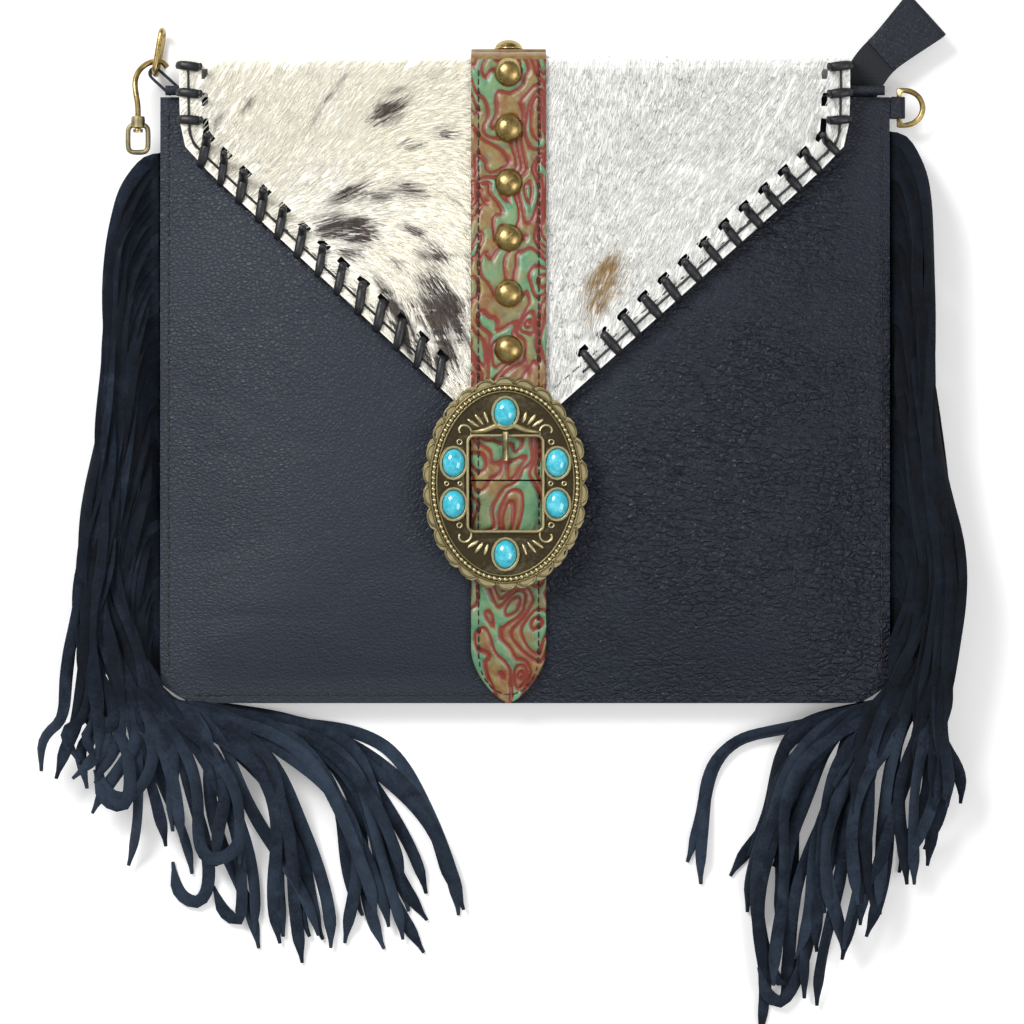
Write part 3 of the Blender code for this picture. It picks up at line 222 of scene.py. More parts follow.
def hair_color(tree, place, side):
    """The hide's own coat, darkened where the "mark" kept on its points says so."""
    mark = add_node(tree, "ShaderNodeAttribute", attribute_name="mark").outputs["Fac"]
    mark = between(tree, mark, 0.06, 0.62)
    cloud = fine_noise(tree, place, 4 * MM, 4, 0.7)
    wide = fine_noise(tree, place, 35 * MM, 2)
    if side < 0:
        base = ramp(tree, wide, [(0.35, "#fffcf2"), (0.6, "#fcf7e6")])
        base = blend_colors(tree, between(tree, cloud, 0.5, 0.3, 0, 0.35), base, linear("#e4dcc6"))
        coat = ramp(tree, cloud, [(0.3, "#1a120e"), (0.55, "#38261a"), (0.8, "#6a5036")])
        return blend_colors(tree, mark, base, coat)
    base = ramp(tree, cloud, [(0.3, "#e6e6e2"), (0.5, "#f6f6f2"), (0.75, "#fdfdfb")])
    speck = fine_noise(tree, place, 1.6 * MM, 2, 0.6)
    often = between(tree, wide, 0.4, 0.65, 0.15, 0.7)
    grey = maths(tree, "MULTIPLY", between(tree, speck, 0.58, 0.7), often)
    color = blend_colors(tree, grey, base, linear("#8d8a86"))
    return blend_colors(tree, mark, color, linear("#a2824c"))


def hair_on_hide(name, side, fibre=False):
    """Hair-on cowhide: short flat hair with a soft sheen, all lying one way."""
    made, tree, shader, place = start_material(
        name, Roughness=0.62, IOR=1.5, Sheen_Weight=0.25, Sheen_Roughness=0.5
    )
    color = hair_color(tree, place, side)
    turned = stretched(tree, place, (1, 1, 1), (0, 0, 0.62 if side < 0 else -0.5))
    flow = stretched(tree, turned, (5.0, 0.5, 1))
    hair = fine_noise(tree, flow, 3.2 * MM, 4, 0.7)
    if not fibre:
        # Painted shade: the hide turns grey-tan where the hair pattern lies low, in the grooves between locks
        color = blend_colors(tree, between(tree, hair, 0.5, 0.3, 0.0, 0.2), color, linear("#b9b2a2"))
        bump(tree, shader, hair, 0.25 * MM, 0.7)
    tree.links.new(color, shader.inputs["Base Color"])
    return made


def lace_leather():
    """Waxed calf lace: near black, smooth, with a soft long gloss."""
    made, tree, shader, place = start_material("waxed calf lace", Roughness=0.42, IOR=1.5)
    fibre = fine_noise(tree, place, 1.2 * MM, 3)
    tree.links.new(ramp(tree, fibre, [(0.35, "#0e0f12"), (0.7, "#24262b")]), shader.inputs["Base Color"])
    bump(tree, shader, fibre, 0.12 * MM, 0.5)
    return made


def tooled_leather():
    """Carved and hand-dyed saddle leather: green leaves, tan ground, oxblood in the cuts. Depth is real."""
    made, tree, shader, place = start_material(
        "carved saddle leather", Roughness=0.4, IOR=1.5, Coat_Weight=0.25, Coat_Roughness=0.3
    )
    depth = add_node(tree, "ShaderNodeAttribute", attribute_name="depth").outputs["Fac"]
    tint = add_node(tree, "ShaderNodeAttribute", attribute_name="tint").outputs["Fac"]
    cloud = fine_noise(tree, place, 5 * MM, 4, 0.65, 0.8)
    patch = fine_noise(tree, place, 16 * MM, 2, 0.5, 0.6)
    green = ramp(tree, cloud, [(0.3, "#467c5c"), (0.5, "#648f69"), (0.7, "#829463")])
    tan = ramp(tree, cloud, [(0.3, "#774a2d"), (0.5, "#87673c"), (0.7, "#8d824c")])
    where = maths(tree, "ADD", maths(tree, "MULTIPLY", tint, 0.55), maths(tree, "MULTIPLY", patch, 0.9))
    color = blend_colors(tree, between(tree, where, 0.64, 0.88), tan, green)
    dye = between(tree, maths(tree, "ADD", depth, maths(tree, "MULTIPLY", cloud, 0.30)), 0.74, 0.42)
    color = blend_colors(tree, dye, color, linear("#7c2a19"))
    tree.links.new(color, shader.inputs["Base Color"])
    bump(tree, shader, fine_noise(tree, place, 0.7 * MM, 3), 0.12 * MM, 0.6)
    return made


def suede_nap():
    """Split suede, dyed navy: matt, with a nap that shows pale where it was brushed."""
    made, tree, shader, place = start_material(
        "navy split suede", Roughness=0.95, IOR=1.3, Sheen_Weight=0.06, Sheen_Roughness=0.5
    )
    # tone, kept on the strands' points, holds their random tone and their painted shade: darker beside the bag and on
    # the right
    tone = add_node(tree, "ShaderNodeAttribute", attribute_name="tone").outputs["Fac"]
    nap = fine_noise(tree, place, 1.0 * MM, 4, 0.7)
    brushed = fine_noise(tree, place, 9 * MM, 3, 0.6, 0.7)
    shade = maths(tree, "ADD", maths(tree, "MULTIPLY", nap, 0.35), maths(tree, "MULTIPLY", brushed, 0.45))
    shade = maths(tree, "ADD", shade, maths(tree, "MULTIPLY", tone, 0.35))
    color = ramp(tree, shade, [(0.26, "#05070c"), (0.5, "#121a26"), (0.8, "#303c4b")])
    tree.links.new(color, shader.inputs["Base Color"])
    bump(tree, shader, nap, 0.22 * MM, 0.8)
    return made


def aged_metal(name, recess, body, wear_and_crease_shade, rough=0.34, size=1.4 * MM):
    """Plated zinc casting, blackened and rubbed back: dark where it is low, bright on edges and tops."""
    made, tree, shader, place = start_material(name, Metallic=1.0, Roughness=rough)
    cloud = fine_noise(tree, place, size, 4, 0.6)
    edge = add_node(tree, "ShaderNodeNewGeometry").outputs["Pointiness"]
    patch = maths(tree, "MULTIPLY", maths(tree, "SUBTRACT", cloud, 0.5), 0.5)
    high = maths(tree, "ADD", between(tree, edge, 0.44, 0.56), patch, clamp=True)
    tree.links.new(ramp(tree, high, [(0.1, recess), (0.5, body), (0.85, wear_and_crease_shade)]), shader.inputs["Base Color"])
    tree.links.new(between(tree, cloud, 0.3, 0.7, rough - 0.07, rough + 0.16), shader.inputs["Roughness"])
    bump(tree, shader, cloud, 0.05 * MM, 0.6)
    return made


def turquoise():
    """Polished turquoise cabochon: opaque sky blue with faint paler clouds and a hard gloss."""
    made, tree, shader, place = start_material(
        "polished turquoise", Roughness=0.12, IOR=1.61, Coat_Weight=0.6, Coat_Roughness=0.05
    )
    cloud = fine_noise(tree, place, 3 * MM, 4, 0.6, 1.0)
    color = ramp(tree, cloud, [(0.3, "#1f9fb8"), (0.5, "#3fc1d6"), (0.72, "#78d8e4")])
    vein = between(tree, cells(tree, place, 3.5 * MM, "DISTANCE_TO_EDGE"), 0.02, 0.0, 0, 0.5)
    tree.links.new(blend_colors(tree, vein, color, linear("#2c7f8c")), shader.inputs["Base Color"])
    return made


def woven(name, pale, dark, thread=0.5 * MM):
    """Plain-woven cotton or polyester tape: threads half a millimetre apart, over and under."""
    made, tree, shader, place = start_material(name, Roughness=0.85, IOR=1.45, Sheen_Weight=0.1)
    waves = [
        add_node(tree, "ShaderNodeTexWave", {"Vector": place, "Scale": 0.314 / thread}, bands_direction=way).outputs["Fac"]
        for way in ("X", "Y")
    ]
    weave = maths(tree, "MULTIPLY", waves[0], waves[1])
    tree.links.new(ramp(tree, weave, [(0.1, dark), (0.7, pale)]), shader.inputs["Base Color"])
    bump(tree, shader, weave, 0.1 * MM, 0.7)
    return made


def thread():
    """Waxed polyester thread, three-ply: dark, slightly glossy."""
    made, tree, shader, place = start_material("waxed thread", Roughness=0.5, IOR=1.5)
    ply = fine_noise(tree, stretched(tree, place, (1, 3, 1), (0, 0, 0.8)), 0.5 * MM, 2)
    tree.links.new(ramp(tree, ply, [(0.3, "#15110e"), (0.7, "#3a3029")]), shader.inputs["Base Color"])
    return made


LEATHER = drummed_leather("drummed cowhide")
LEATHER_PLAIN = drummed_leather("drummed cowhide trim", False, "#20262f", "#131924")
HIDES = {-1: hair_on_hide("hair-on hide, brindled", -1), 1: hair_on_hide("hair-on hide, speckled", 1)}
HAIRS = {-1: hair_on_hide("hide hair, brindled", -1, True), 1: hair_on_hide("hide hair, speckled", 1, True)}
LACE = lace_leather()
TOOLED = tooled_leather()
SUEDE = suede_nap()
BRONZE = aged_metal("antiqued bronze casting", "#433b2c", "#7a7157", "#a89c76", 0.42)
BRIGHT = aged_metal("rubbed bronze edge", "#3a3122", "#867a56", "#c9bd92", 0.34)
DULL = aged_metal("blackened bronze rim", "#241d12", "#4c4431", "#857a58", 0.42)
BRASS = aged_metal("antiqued brass", "#2f2413", "#86703f", "#c9b27a", 0.28, 2.5 * MM)
STONE = turquoise()
LINING = woven("cotton lining", "#6d5d4c", "#4a3e33", 0.7 * MM)
TAPE = woven("polyester zip tape", "#2c2f36", "#14161a")
THREAD = thread()


def finish(piece, look, body, slot, *replaced):
    """Gives a piece its finish and its CAD body, and hides the CAD nodes that it stands for; slot is not used."""
    piece.data.materials.clear()
    piece.data.materials.append(look)
    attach(piece, body)
    if replaced:
        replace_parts(piece, *replaced)
    return piece


def only(piece):
    """Deselects everything but one piece, which becomes the active one."""
    bpy.ops.object.select_all(action="DESELECT")
    piece.select_set(True)
    bpy.context.view_layer.objects.active = piece


def as_piece(shape, name, sharp=None):
    """A bmesh made a piece of the scene: smooth, or with edges sharp above a number of degrees."""
    mesh = bpy.data.meshes.new(name)
    shape.to_mesh(mesh)
    shape.free()
    piece = bpy.data.objects.new(name, mesh)
    bpy.context.scene.collection.objects.link(piece)
    if sharp is None:
        mesh.shade_smooth()
    else:
        only(piece)
        bpy.ops.object.shade_smooth_by_angle(angle=math.radians(sharp))
    return piece


def skin(shape, rings, cyclic=False, capped=True):
    """Faces between neighbouring rings of points, and over the two open ends."""
    for near, far in list(zip(rings, rings[1:])) + ([(rings[-1], rings[0])] if cyclic else []):
        for k in range(len(near)):
            m = (k + 1) % len(near)
            shape.faces.new((near[k], near[m], far[m], far[k]))
    if capped and not cyclic:
        shape.faces.new(rings[0])
        shape.faces.new(rings[-1])


def copy_of(node, name):
    """A merged copy of a CAD node's mesh, in quads where its triangles pair up."""
    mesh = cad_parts[node].data.copy()
    piece = bpy.data.objects.new(name, mesh)
    bpy.context.scene.collection.objects.link(piece)
    for shading in ("custom_normal", "sharp_edge", "sharp_face"):
        if shading in mesh.attributes:
            mesh.attributes.remove(mesh.attributes[shading])
    only(piece)
    bpy.ops.object.mode_set(mode="EDIT")
    bpy.ops.mesh.select_all(action="SELECT")
    bpy.ops.mesh.remove_doubles(threshold=0.002 * MM)
    bpy.ops.mesh.tris_convert_to_quads(face_threshold=0.6, shape_threshold=1.2)
    bpy.ops.object.mode_set(mode="OBJECT")
    return piece


def rounded(piece, levels, hold=50, soft=0.0):
    """Subdivides a piece; edges sharper than hold degrees keep their corner, less soft."""
    mesh = piece.data
    shape = bmesh.new()
    shape.from_mesh(mesh)
    crease = shape.edges.layers.float.get("crease_edge") or shape.edges.layers.float.new("crease_edge")
    for edge in shape.edges:
        if not edge.is_manifold or edge.calc_face_angle(0) > math.radians(hold):
            edge[crease] = 1 - soft
    shape.to_mesh(mesh)
    shape.free()
    step = piece.modifiers.new("rounding", "SUBSURF")
    step.levels = step.render_levels = levels
    only(piece)
    bpy.ops.object.modifier_apply(modifier=step.name)
    bpy.ops.object.shade_smooth_by_angle(angle=math.radians(40))
    return piece


def edge_round(piece, width, segments=3, angle=40):
    bevel = piece.modifiers.new("edge", "BEVEL")
    bevel.width, bevel.segments, bevel.limit_method = width, segments, "ANGLE"
    bevel.angle_limit = math.radians(angle)
    only(piece)
    bpy.ops.object.modifier_apply(modifier=bevel.name)
    bpy.ops.object.shade_smooth_by_angle(angle=math.radians(40))
    return piece


def tree_of(*nodes):
    """What rays from above meet first on these CAD nodes."""
    points, faces = [], []
    for node in nodes:
        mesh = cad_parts[node].data
        first = len(points)
        points += [v.co.copy() for v in mesh.vertices]
        faces += [[first + i for i in p.vertices] for p in mesh.polygons]
    return BVHTree.FromPolygons(points, faces)


def drop(tree, x, y):
    """Height and normal of what lies below (x, y)."""
    spot, normal, _, _ = tree.ray_cast(Vector((x, y, 0.2)), Vector((0, 0, -1)))
    return (spot.z, normal) if spot else (None, Vector((0, 0, 1)))


def tube(name, points, radii, cyclic=False, sides=8, flat=1.0):
    """A closed swept rod along points in a near-level plane; flat squeezes its height."""
    shape = bmesh.new()
    count = len(points)
    rings = []
    for i, point in enumerate(points):
        ahead = points[(i + 1) % count] if cyclic or i + 1 < count else points[i]
        behind = points[i - 1] if cyclic or i > 0 else points[i]
        run = (Vector(ahead) - Vector(behind)).normalized()
        across = run.cross(Vector((0, 0, 1))).normalized()
        up = across.cross(run)
        radius = radii[i] if hasattr(radii, "__len__") else radii
        rings.append([
            shape.verts.new(Vector(point) + across * radius * math.cos(a) + up * radius * flat * math.sin(a))
            for a in (math.tau * k / sides for k in range(sides))
        ])
    skin(shape, rings, cyclic)
    bmesh.ops.recalc_face_normals(shape, faces=shape.faces)
    return as_piece(shape, name)


def joined(pieces, name):
    """Several finished pieces as one object at the origin."""
    bpy.ops.object.select_all(action="DESELECT")
    for piece in pieces:
        piece.select_set(True)
    bpy.context.view_layer.objects.active = pieces[0]
    if len(pieces) > 1:
        bpy.ops.object.join()
    pieces[0].name = name
    return pieces[0]


# Body: the pebbled panels, the welt, the hem and the lining
def crease_depth(x, y):
    """How deep the leather's own wrinkles are at a place on the front, 0 to 1."""
    bend = noise.noise(Vector((x * 14, y * 9, 3.1))) * 0.011
    wave = noise.noise(Vector((x * 55, (y + bend) * 120, 7.7)))
    long_wave = noise.noise(Vector((x * 16, (y + bend) * 44, 1.2)))
    share = 1 / (1 + math.exp(-(x - 0.005) * 60))
    fine = max(0.0, 1 - abs(wave) * 5.5) * (0.25 + 0.75 * share)
    wide = max(0.0, 1 - abs(long_wave) * 4.0) * 0.7
    return max(fine, wide) * min(1.0, max(0.0, 0.6 + noise.noise(Vector((x * 26, y * 26, 5))) * 1.6))


def wrinkle(piece, depth, low_z):
    """Presses the wrinkles into the faces of a panel that look up and lie above low_z."""
    mesh = piece.data
    for vertex in mesh.vertices:
        if vertex.normal.z > 0.6 and vertex.co.z > low_z:
            x, y = vertex.co.xy
            inside = min(BODY_HIGH.x - abs(x), y - BODY_LOW.y, BODY_HIGH.y - y)
            ease = min(1.0, max(0.0, inside / 0.012))
            swell = noise.noise(Vector((x * 22, y * 30, 0.4))) * 0.5
            vertex.co.z += (swell * 0.6 - crease_depth(x, y)) * depth * ease


front = rounded(copy_of("front_panel", "front_leather"), 3, 45)
wrinkle(front, 0.6 * MM, 0.008)
finish(front, LEATHER, "bag", "pebbled_leather", "front_panel")
back = rounded(copy_of("back_panel", "back_leather"), 2, 45)
finish(back, LEATHER, "bag", "pebbled_leather", "back_panel")
for node, name, levels in (("bottom_welt", "bottom_piping", 2), ("mouth_hem", "mouth_roll", 2)):
    finish(rounded(copy_of(node, name), levels, 60), LEATHER_PLAIN, "bag", "pebbled_leather", node)
for node, look in (("lining", LINING), ("zip_tape_front", TAPE), ("zip_tape_back", TAPE)):
    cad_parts[node].data.materials.clear()
    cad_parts[node].data.materials.append(look)


# Fringe: strands of cut suede that leave the side seams, droop beside the bag and fan out below it
BODY_HALF, BODY_FLOOR, BODY_CORNER = 127 * MM, -105.5 * MM, 9 * MM
SEAM_END, SEAM_LEVEL = -95.5 * MM, 8 * MM
STRANDS, STRAND_WIDE, STRAND_THICK, STRAND_LONG = 46, 4.6 * MM, 0.8 * MM, 228 * MM
CELL, CELLS = 2 * MM, 200
GRID_LOW = np.array([-0.20, -0.26])
# For each side, in mm: (height, how far out the fringe lies), the tips from the top strand to the
# lowest, how far past the body's corner the first strand turns and how much less the last one does,
# how much lighter the suede is painted (painted light: the left fringe lighter, the right darker), and where
# its seam starts: lower on the left, clear of the snap hook's eye
FRINGE = {
    -1: (
        ((80, 11), (0, 14), (-30, 16), (-85, 24), (-130, 28)),
        ((159, -121), (153, -126), (136, -150), (106, -168), (83, -197), (60, -184), (40, -186), (24, -168)),
        (31, 82), 0.10, 84 * MM,
    ),
    1: (
        ((80, 8), (55, 9), (-20, 9), (-60, 18), (-110, 14)),
        ((137, -146), (138, -170), (127, -164), (115, -186), (101, -202), (86, -211), (90, -167), (60, -166)),
        (21, 50), -0.15, 91.5 * MM,
    ),
}


def eased(value):
    """0 to 1 with level ends."""
    t = np.clip(value, 0.0, 1.0)
    return t * t * (3 - 2 * t)


def inside_bag(x, y):
    """How far a place lies inside the side and bottom seams, seen from above."""
    across = x - (BODY_HALF - BODY_CORNER)
    below = BODY_FLOOR + BODY_CORNER - y
    return BODY_CORNER - math.hypot(max(across, 0), max(below, 0)) - min(max(across, below), 0)


def even_line(points, step):
    """(points, distances) at even steps along a line."""
    points = np.array(points)
    lengths = np.concatenate([[0], np.cumsum(np.linalg.norm(np.diff(points, axis=0), axis=1))])
    along = np.linspace(0, lengths[-1], max(3, int(lengths[-1] / step) + 1))
    return np.stack([np.interp(along, lengths, points[:, k]) for k in (0, 1)], 1), along


def strand_route(share, lay, dice):
    """A right-hand strand seen from above: out of the seam, down beside the bag, to its tip."""
    reach, tips, fan, _, seam_top = lay
    start = seam_top - share * (seam_top - SEAM_END)
    edge = BODY_HALF - 0.3 * MM
    spots = [(edge, start), (edge + 2 * MM, start), (edge + 6 * MM, start - 1 * MM)]
    heights, widths = zip(*reversed(reach))
    for drop_by in (14, 40, 75, 110, 145, 175):
        y = start - drop_by * MM
        if y < BODY_FLOOR + 12 * MM:
            break
        lane = 1 - share * (seam_top - SEAM_END) / (seam_top - y)
        out = 4 * MM + np.interp(y / MM, heights, widths) * MM * lane**0.55
        spots.append((BODY_HALF + out + dice.normal(0, 1.8 * MM), y + dice.normal(0, 2 * MM)))
    places = np.linspace(0, 1, len(tips))
    corner = BODY_HALF + (fan[0] - fan[1] * share) * MM + dice.normal(0, 3 * MM)
    tip_x = np.interp(share, places, [tip[0] for tip in tips]) * MM + dice.normal(0, 5 * MM)
    tip_y = np.interp(share, places, [tip[1] for tip in tips]) * MM + dice.normal(0, 6 * MM)
    if start > BODY_FLOOR + 20 * MM:
        if corner < BODY_HALF - 10 * MM:
            spots.append((BODY_HALF + (5.5 + 6 * (1 - share)) * MM, BODY_FLOOR + 1 * MM))
        spots.append((min(corner, spots[-1][0]), BODY_FLOOR - 5.5 * MM))
    else:
        spots.append((BODY_HALF + 4.5 * MM, BODY_FLOOR - 3 * MM))
        spots.append((corner, BODY_FLOOR - 7.5 * MM))
    turn = 0.5 - 0.22 * share
    spots.append(((corner + 2 * tip_x) / 3 + dice.normal(0, 8 * MM), BODY_FLOOR + turn * (tip_y - BODY_FLOOR)))
    spots.append((tip_x, tip_y))
    if dice.random() < 0.1:
        bend = dice.choice((-1, 1))
        spots.append((tip_x + bend * 11 * MM, tip_y + 2 * MM))
        spots.append((tip_x + bend * 14 * MM, tip_y + 14 * MM))
    return spots


def strand_line(share, lay, dice):
    """The route made smooth, waved where it is short of the strand's length, and kept off the bag."""
    line = [np.array(spot, float) for spot in strand_route(share, lay, dice)]
    for _ in range(4):
        cut = [line[0]]
        for a, b in zip(line, line[1:]):
            cut += [0.75 * a + 0.25 * b, 0.25 * a + 0.75 * b]
        line = cut + [line[-1]]
    points, along = even_line(line, 2 * MM)
    if along[-1] < STRAND_LONG:
        size = min(2.2 * MM, 6 * MM * math.sqrt(1 - along[-1] / STRAND_LONG))
        run = np.gradient(points, axis=0)
        run /= np.linalg.norm(run, axis=1)[:, None]
        wave = size * np.sin(along / (12 * MM) + dice.uniform(0, 6.28)) * eased((along - 50 * MM) / (60 * MM))
        points = points + np.stack([-run[:, 1], run[:, 0]], 1) * wave[:, None]
    points, along = even_line(points, 2.6 * MM)
    keep = along <= STRAND_LONG * dice.uniform(0.93, 1.05)
    points, along = points[keep], along[keep]
    for point, s in zip(points, along):
        short = inside_bag(*point) + 1.6 * MM * min(1.0, s / (8 * MM))
        if short > 0 and s > 2 * MM:
            sideways = point[0] - BODY_HALF > BODY_FLOOR - point[1]
            point += (short, 0) if sideways else (0, -short)
    return points, along


def cells_near(place, radius):
    """The pile's grid cells under a strand."""
    column, row = ((place - GRID_LOW) / CELL).astype(int)
    reach = int(radius / CELL) + 1
    for i in range(-reach, reach + 1):
        for j in range(-reach, reach + 1):
            if math.hypot(i, j) * CELL <= radius:
                yield min(CELLS - 1, max(0, column + i)), min(CELLS - 1, max(0, row + j))


def strand_heights(points, along, pile):
    """The strand's underside: level in the seam, then drooping onto what lies below it."""
    base = np.array([max(pile[cell] for cell in cells_near(p, STRAND_WIDE / 2 + 1 * MM)) for p in points])
    base *= eased((along - 3 * MM) / (8 * MM))
    bridged = (base[None, :] - 0.35 * np.abs(along[:, None] - along[None, :])).max(axis=1)
    smooth = np.convolve(np.pad(bridged, 2, mode="edge"), np.ones(5) / 5, mode="valid")
    root = SEAM_LEVEL - STRAND_THICK / 2
    droop = root * (1 - np.clip((along - 1.5 * MM) / (20 * MM), 0, 1) ** 2)
    under = np.maximum(np.maximum(smooth, base), np.minimum(root, droop))
    return np.minimum(under, root + 0.6 * np.maximum(0, along - 4 * MM))


# A strand's section: flat, with softened corners
SECTION = ((1, 0), (0.86, 0.5), (0, 0.5), (-0.86, 0.5), (-1, 0), (-0.86, -0.5), (0, -0.5), (0.86, -0.5))


def add_strand(shape, tone, points, along, under, pale, dice):
    """One strand of suede with its slow twist and a tone of its own: random per strand, with painted shade that
    darkens it beside the bag and lightens it where it fans out below.
    """
    phase, twist = dice.uniform(0, 6.28), dice.uniform(0.2, 0.8)
    own, arch = dice.uniform(-0.28, 0.28), dice.uniform(0.1, 0.45) * MM
    run = np.gradient(points, axis=0)
    run /= np.linalg.norm(run, axis=1)[:, None]
    rings = []
    for k, (place, s) in enumerate(zip(points, along)):
        outside = -inside_bag(abs(place[0]), place[1])
        free = eased((outside - 3 * MM) / (4 * MM)) * eased((s - 6 * MM) / (20 * MM))
        turn = twist * math.sin(s / (20 * MM) + phase) * free
        half = STRAND_WIDE / 2 * (1 - 0.75 * eased((s - along[-1] + 10 * MM) / (10 * MM)))
        level = under[k] + STRAND_THICK / 2 + abs(math.sin(turn)) * half
        beside = Vector((-run[k][1], run[k][0], 0))
        across = beside * math.cos(turn) + Vector((0, 0, math.sin(turn)))
        up = Vector((0, 0, math.cos(turn))) - beside * math.sin(turn)
        # Painted shade: the tone rises where the strand fans out below the bag and falls beside it, and pale sets the
        # left fringe lighter than the right; own and the noise are random tone
        fan = eased((BODY_FLOOR + 12 * MM - place[1]) / (38 * MM))
        shade = pale + own + 0.62 * fan + 0.2 * noise.noise(Vector((*place * 40, own * 9)))
        ring = []
        for u, v in SECTION:
            lift = v * STRAND_THICK + (arch * free if u == 0 else 0)
            vertex = shape.verts.new(Vector((*place, level)) + across * u * half + up * lift)
            vertex[tone] = shade
            ring.append(vertex)
        rings.append(ring)
    skin(shape, rings)


for side, word in ((-1, "left"), (1, "right")):
    lay = FRINGE[side]
    shape = bmesh.new()
    tone = shape.verts.layers.float.new("tone")
    pile = np.zeros((CELLS, CELLS))
    for index in reversed(range(STRANDS)):
        dice = np.random.default_rng(100 * (2 + side) + index)
        points, along = strand_line(index / (STRANDS - 1), lay, dice)
        points = points * (side, 1)
        under = strand_heights(points, along, pile)
        for spot, low in zip(points, under):
            packing = max(0.22, 1 - max(0, low - 5 * MM) / (9 * MM))
            for cell in cells_near(spot, STRAND_WIDE / 2 + 0.4 * MM):
                pile[cell] = max(pile[cell], low + (STRAND_THICK + 0.3 * MM) * packing)
        add_strand(shape, tone, points, along, under, lay[3], dice)
    header = bmesh.ops.create_cube(shape, size=1)["verts"]
    for vertex in header:
        x = BODY_HALF + (0.8 if vertex.co.x > 0 else -5.0) * MM
        y = lay[4] + 2.3 * MM if vertex.co.y > 0 else SEAM_END - 1 * MM
        vertex.co = (side * x, y, SEAM_LEVEL + vertex.co.z * STRAND_THICK)
        vertex[tone] = lay[3]
    bmesh.ops.recalc_face_normals(shape, faces=shape.faces)
    finish(as_piece(shape, f"fringe_{word}_suede", 50), SUEDE, "bag", "suede", f"fringe_{word}")


# Hide: the flap, the yoke behind it, and the roll over the fold that joins them
def hair_angle(x, y, side):
    """The way the hair lies, in radians: up the left hide it leans right, then fans round towards the strap."""
    if side > 0:
        return math.radians(-112) + 0.5 * noise.noise(Vector((x * 20, y * 20, 3.0)))
    share = (x + 0.125) / 0.115 * 0.6 + (0.110 - y) / 0.090 * 0.55
    t = min(1.0, max(0.0, (share - 0.35) / 0.6))
    turn = t * t * (3 - 2 * t)
    return math.radians(50 - 110 * turn) + 0.35 * noise.noise(Vector((x * 24, y * 24, 2.0)))


# Brown clusters of the left hide and the tan patch of the right: x, y, length, width in mm, strength
BROWN = (
    (-48.6, 101, 10, 3.6, 1.0), (-26.6, 92, 7, 3.0, 0.9), (-39.6, 88.4, 7, 2.4, 0.7), (-44, 95, 5, 2.0, 0.5),
    (-60.6, 71, 14, 3.2, 0.9), (-66.6, 61, 11, 3.6, 0.8), (-56.6, 56.4, 8, 3.4, 1.2), (-60.6, 50, 9, 2.4, 0.8),
    (-37.6, 71, 8, 2.4, 0.6), (-24, 68, 5, 2.0, 0.4), (-26.6, 35.4, 17, 3.2, 1.1), (-32.6, 29.5, 15, 2.6, 0.9),
    (-45.6, 30.4, 13, 3.0, 1.0), (-40.6, 20.5, 15, 3.0, 1.0), (-31.6, 13.4, 12, 3.0, 0.8), (-22, 22, 14, 2.4, 0.7),
    (-65.6, 108, 16, 1.2, 0.6), (-72, 98, 12, 1.2, 0.5), (-95.6, 102, 7, 1.6, 0.5), (-105, 98, 8, 2.0, 0.45),
    (-32.6, 111, 8, 1.8, 0.6), (-43, 108, 6, 1.4, 0.4), (-84, 84, 9, 1.2, 0.3), (-50, 40, 8, 2.0, 0.5),
    (-20, 48, 8, 2.0, 0.45), (-100, 86, 6, 1.4, 0.3), (-36, 50, 7, 1.8, 0.35),
    (-57, 61, 9, 2.4, 0.9), (-50, 70, 8, 2.2, 0.8), (-66, 57, 8, 2.0, 0.8), (-40, 74, 9, 2.0, 0.6),
    (-38, 58, 8, 2.2, 0.8), (-30, 50, 9, 2.6, 0.9), (-33, 39, 8, 2.4, 0.9), (-28, 30, 9, 2.8, 1.0),
    (-34, 26, 7, 2.0, 0.8), (-27, 18, 9, 2.6, 1.0), (-24, 11, 7, 2.4, 0.9), (-44, 46, 7, 1.8, 0.6),
    (-78, 93, 7, 1.6, 0.4), (-71, 79, 7, 1.6, 0.45), (-89, 82, 6, 1.5, 0.35), (-45, 100, 12, 4.0, 0.45),
)
TAN = ((26, 39, 13, 6.0, 0.9), (29, 47, 7, 4.0, 0.6), (23, 30, 6, 4.0, 0.5))


def mark_at(x, y, side):
    """How far the coat is coloured at a place, 0 to 1: soft streaks that follow the hair."""
    total = 0.0
    for mx, my, length, width, strength in BROWN if side < 0 else TAN:
        dx, dy = x / MM - mx, y / MM - my
        if abs(dx) > 2 * length or abs(dy) > 2 * length:
            continue
        angle = hair_angle(mx * MM, my * MM, side)
        along = (dx * math.cos(angle) + dy * math.sin(angle)) / (length * 0.62)
        across = (-dx * math.sin(angle) + dy * math.cos(angle)) / width
        total += strength * math.exp(-along * along - across * across)
    angle = hair_angle(x, y, side)
    along, across = x * math.cos(angle) + y * math.sin(angle), -x * math.sin(angle) + y * math.cos(angle)
    streak = noise.noise(Vector((along * 90, across * 900, 0.5)))
    return min(1.0, max(0.0, total * (0.85 + 1.0 * streak) - 0.10))


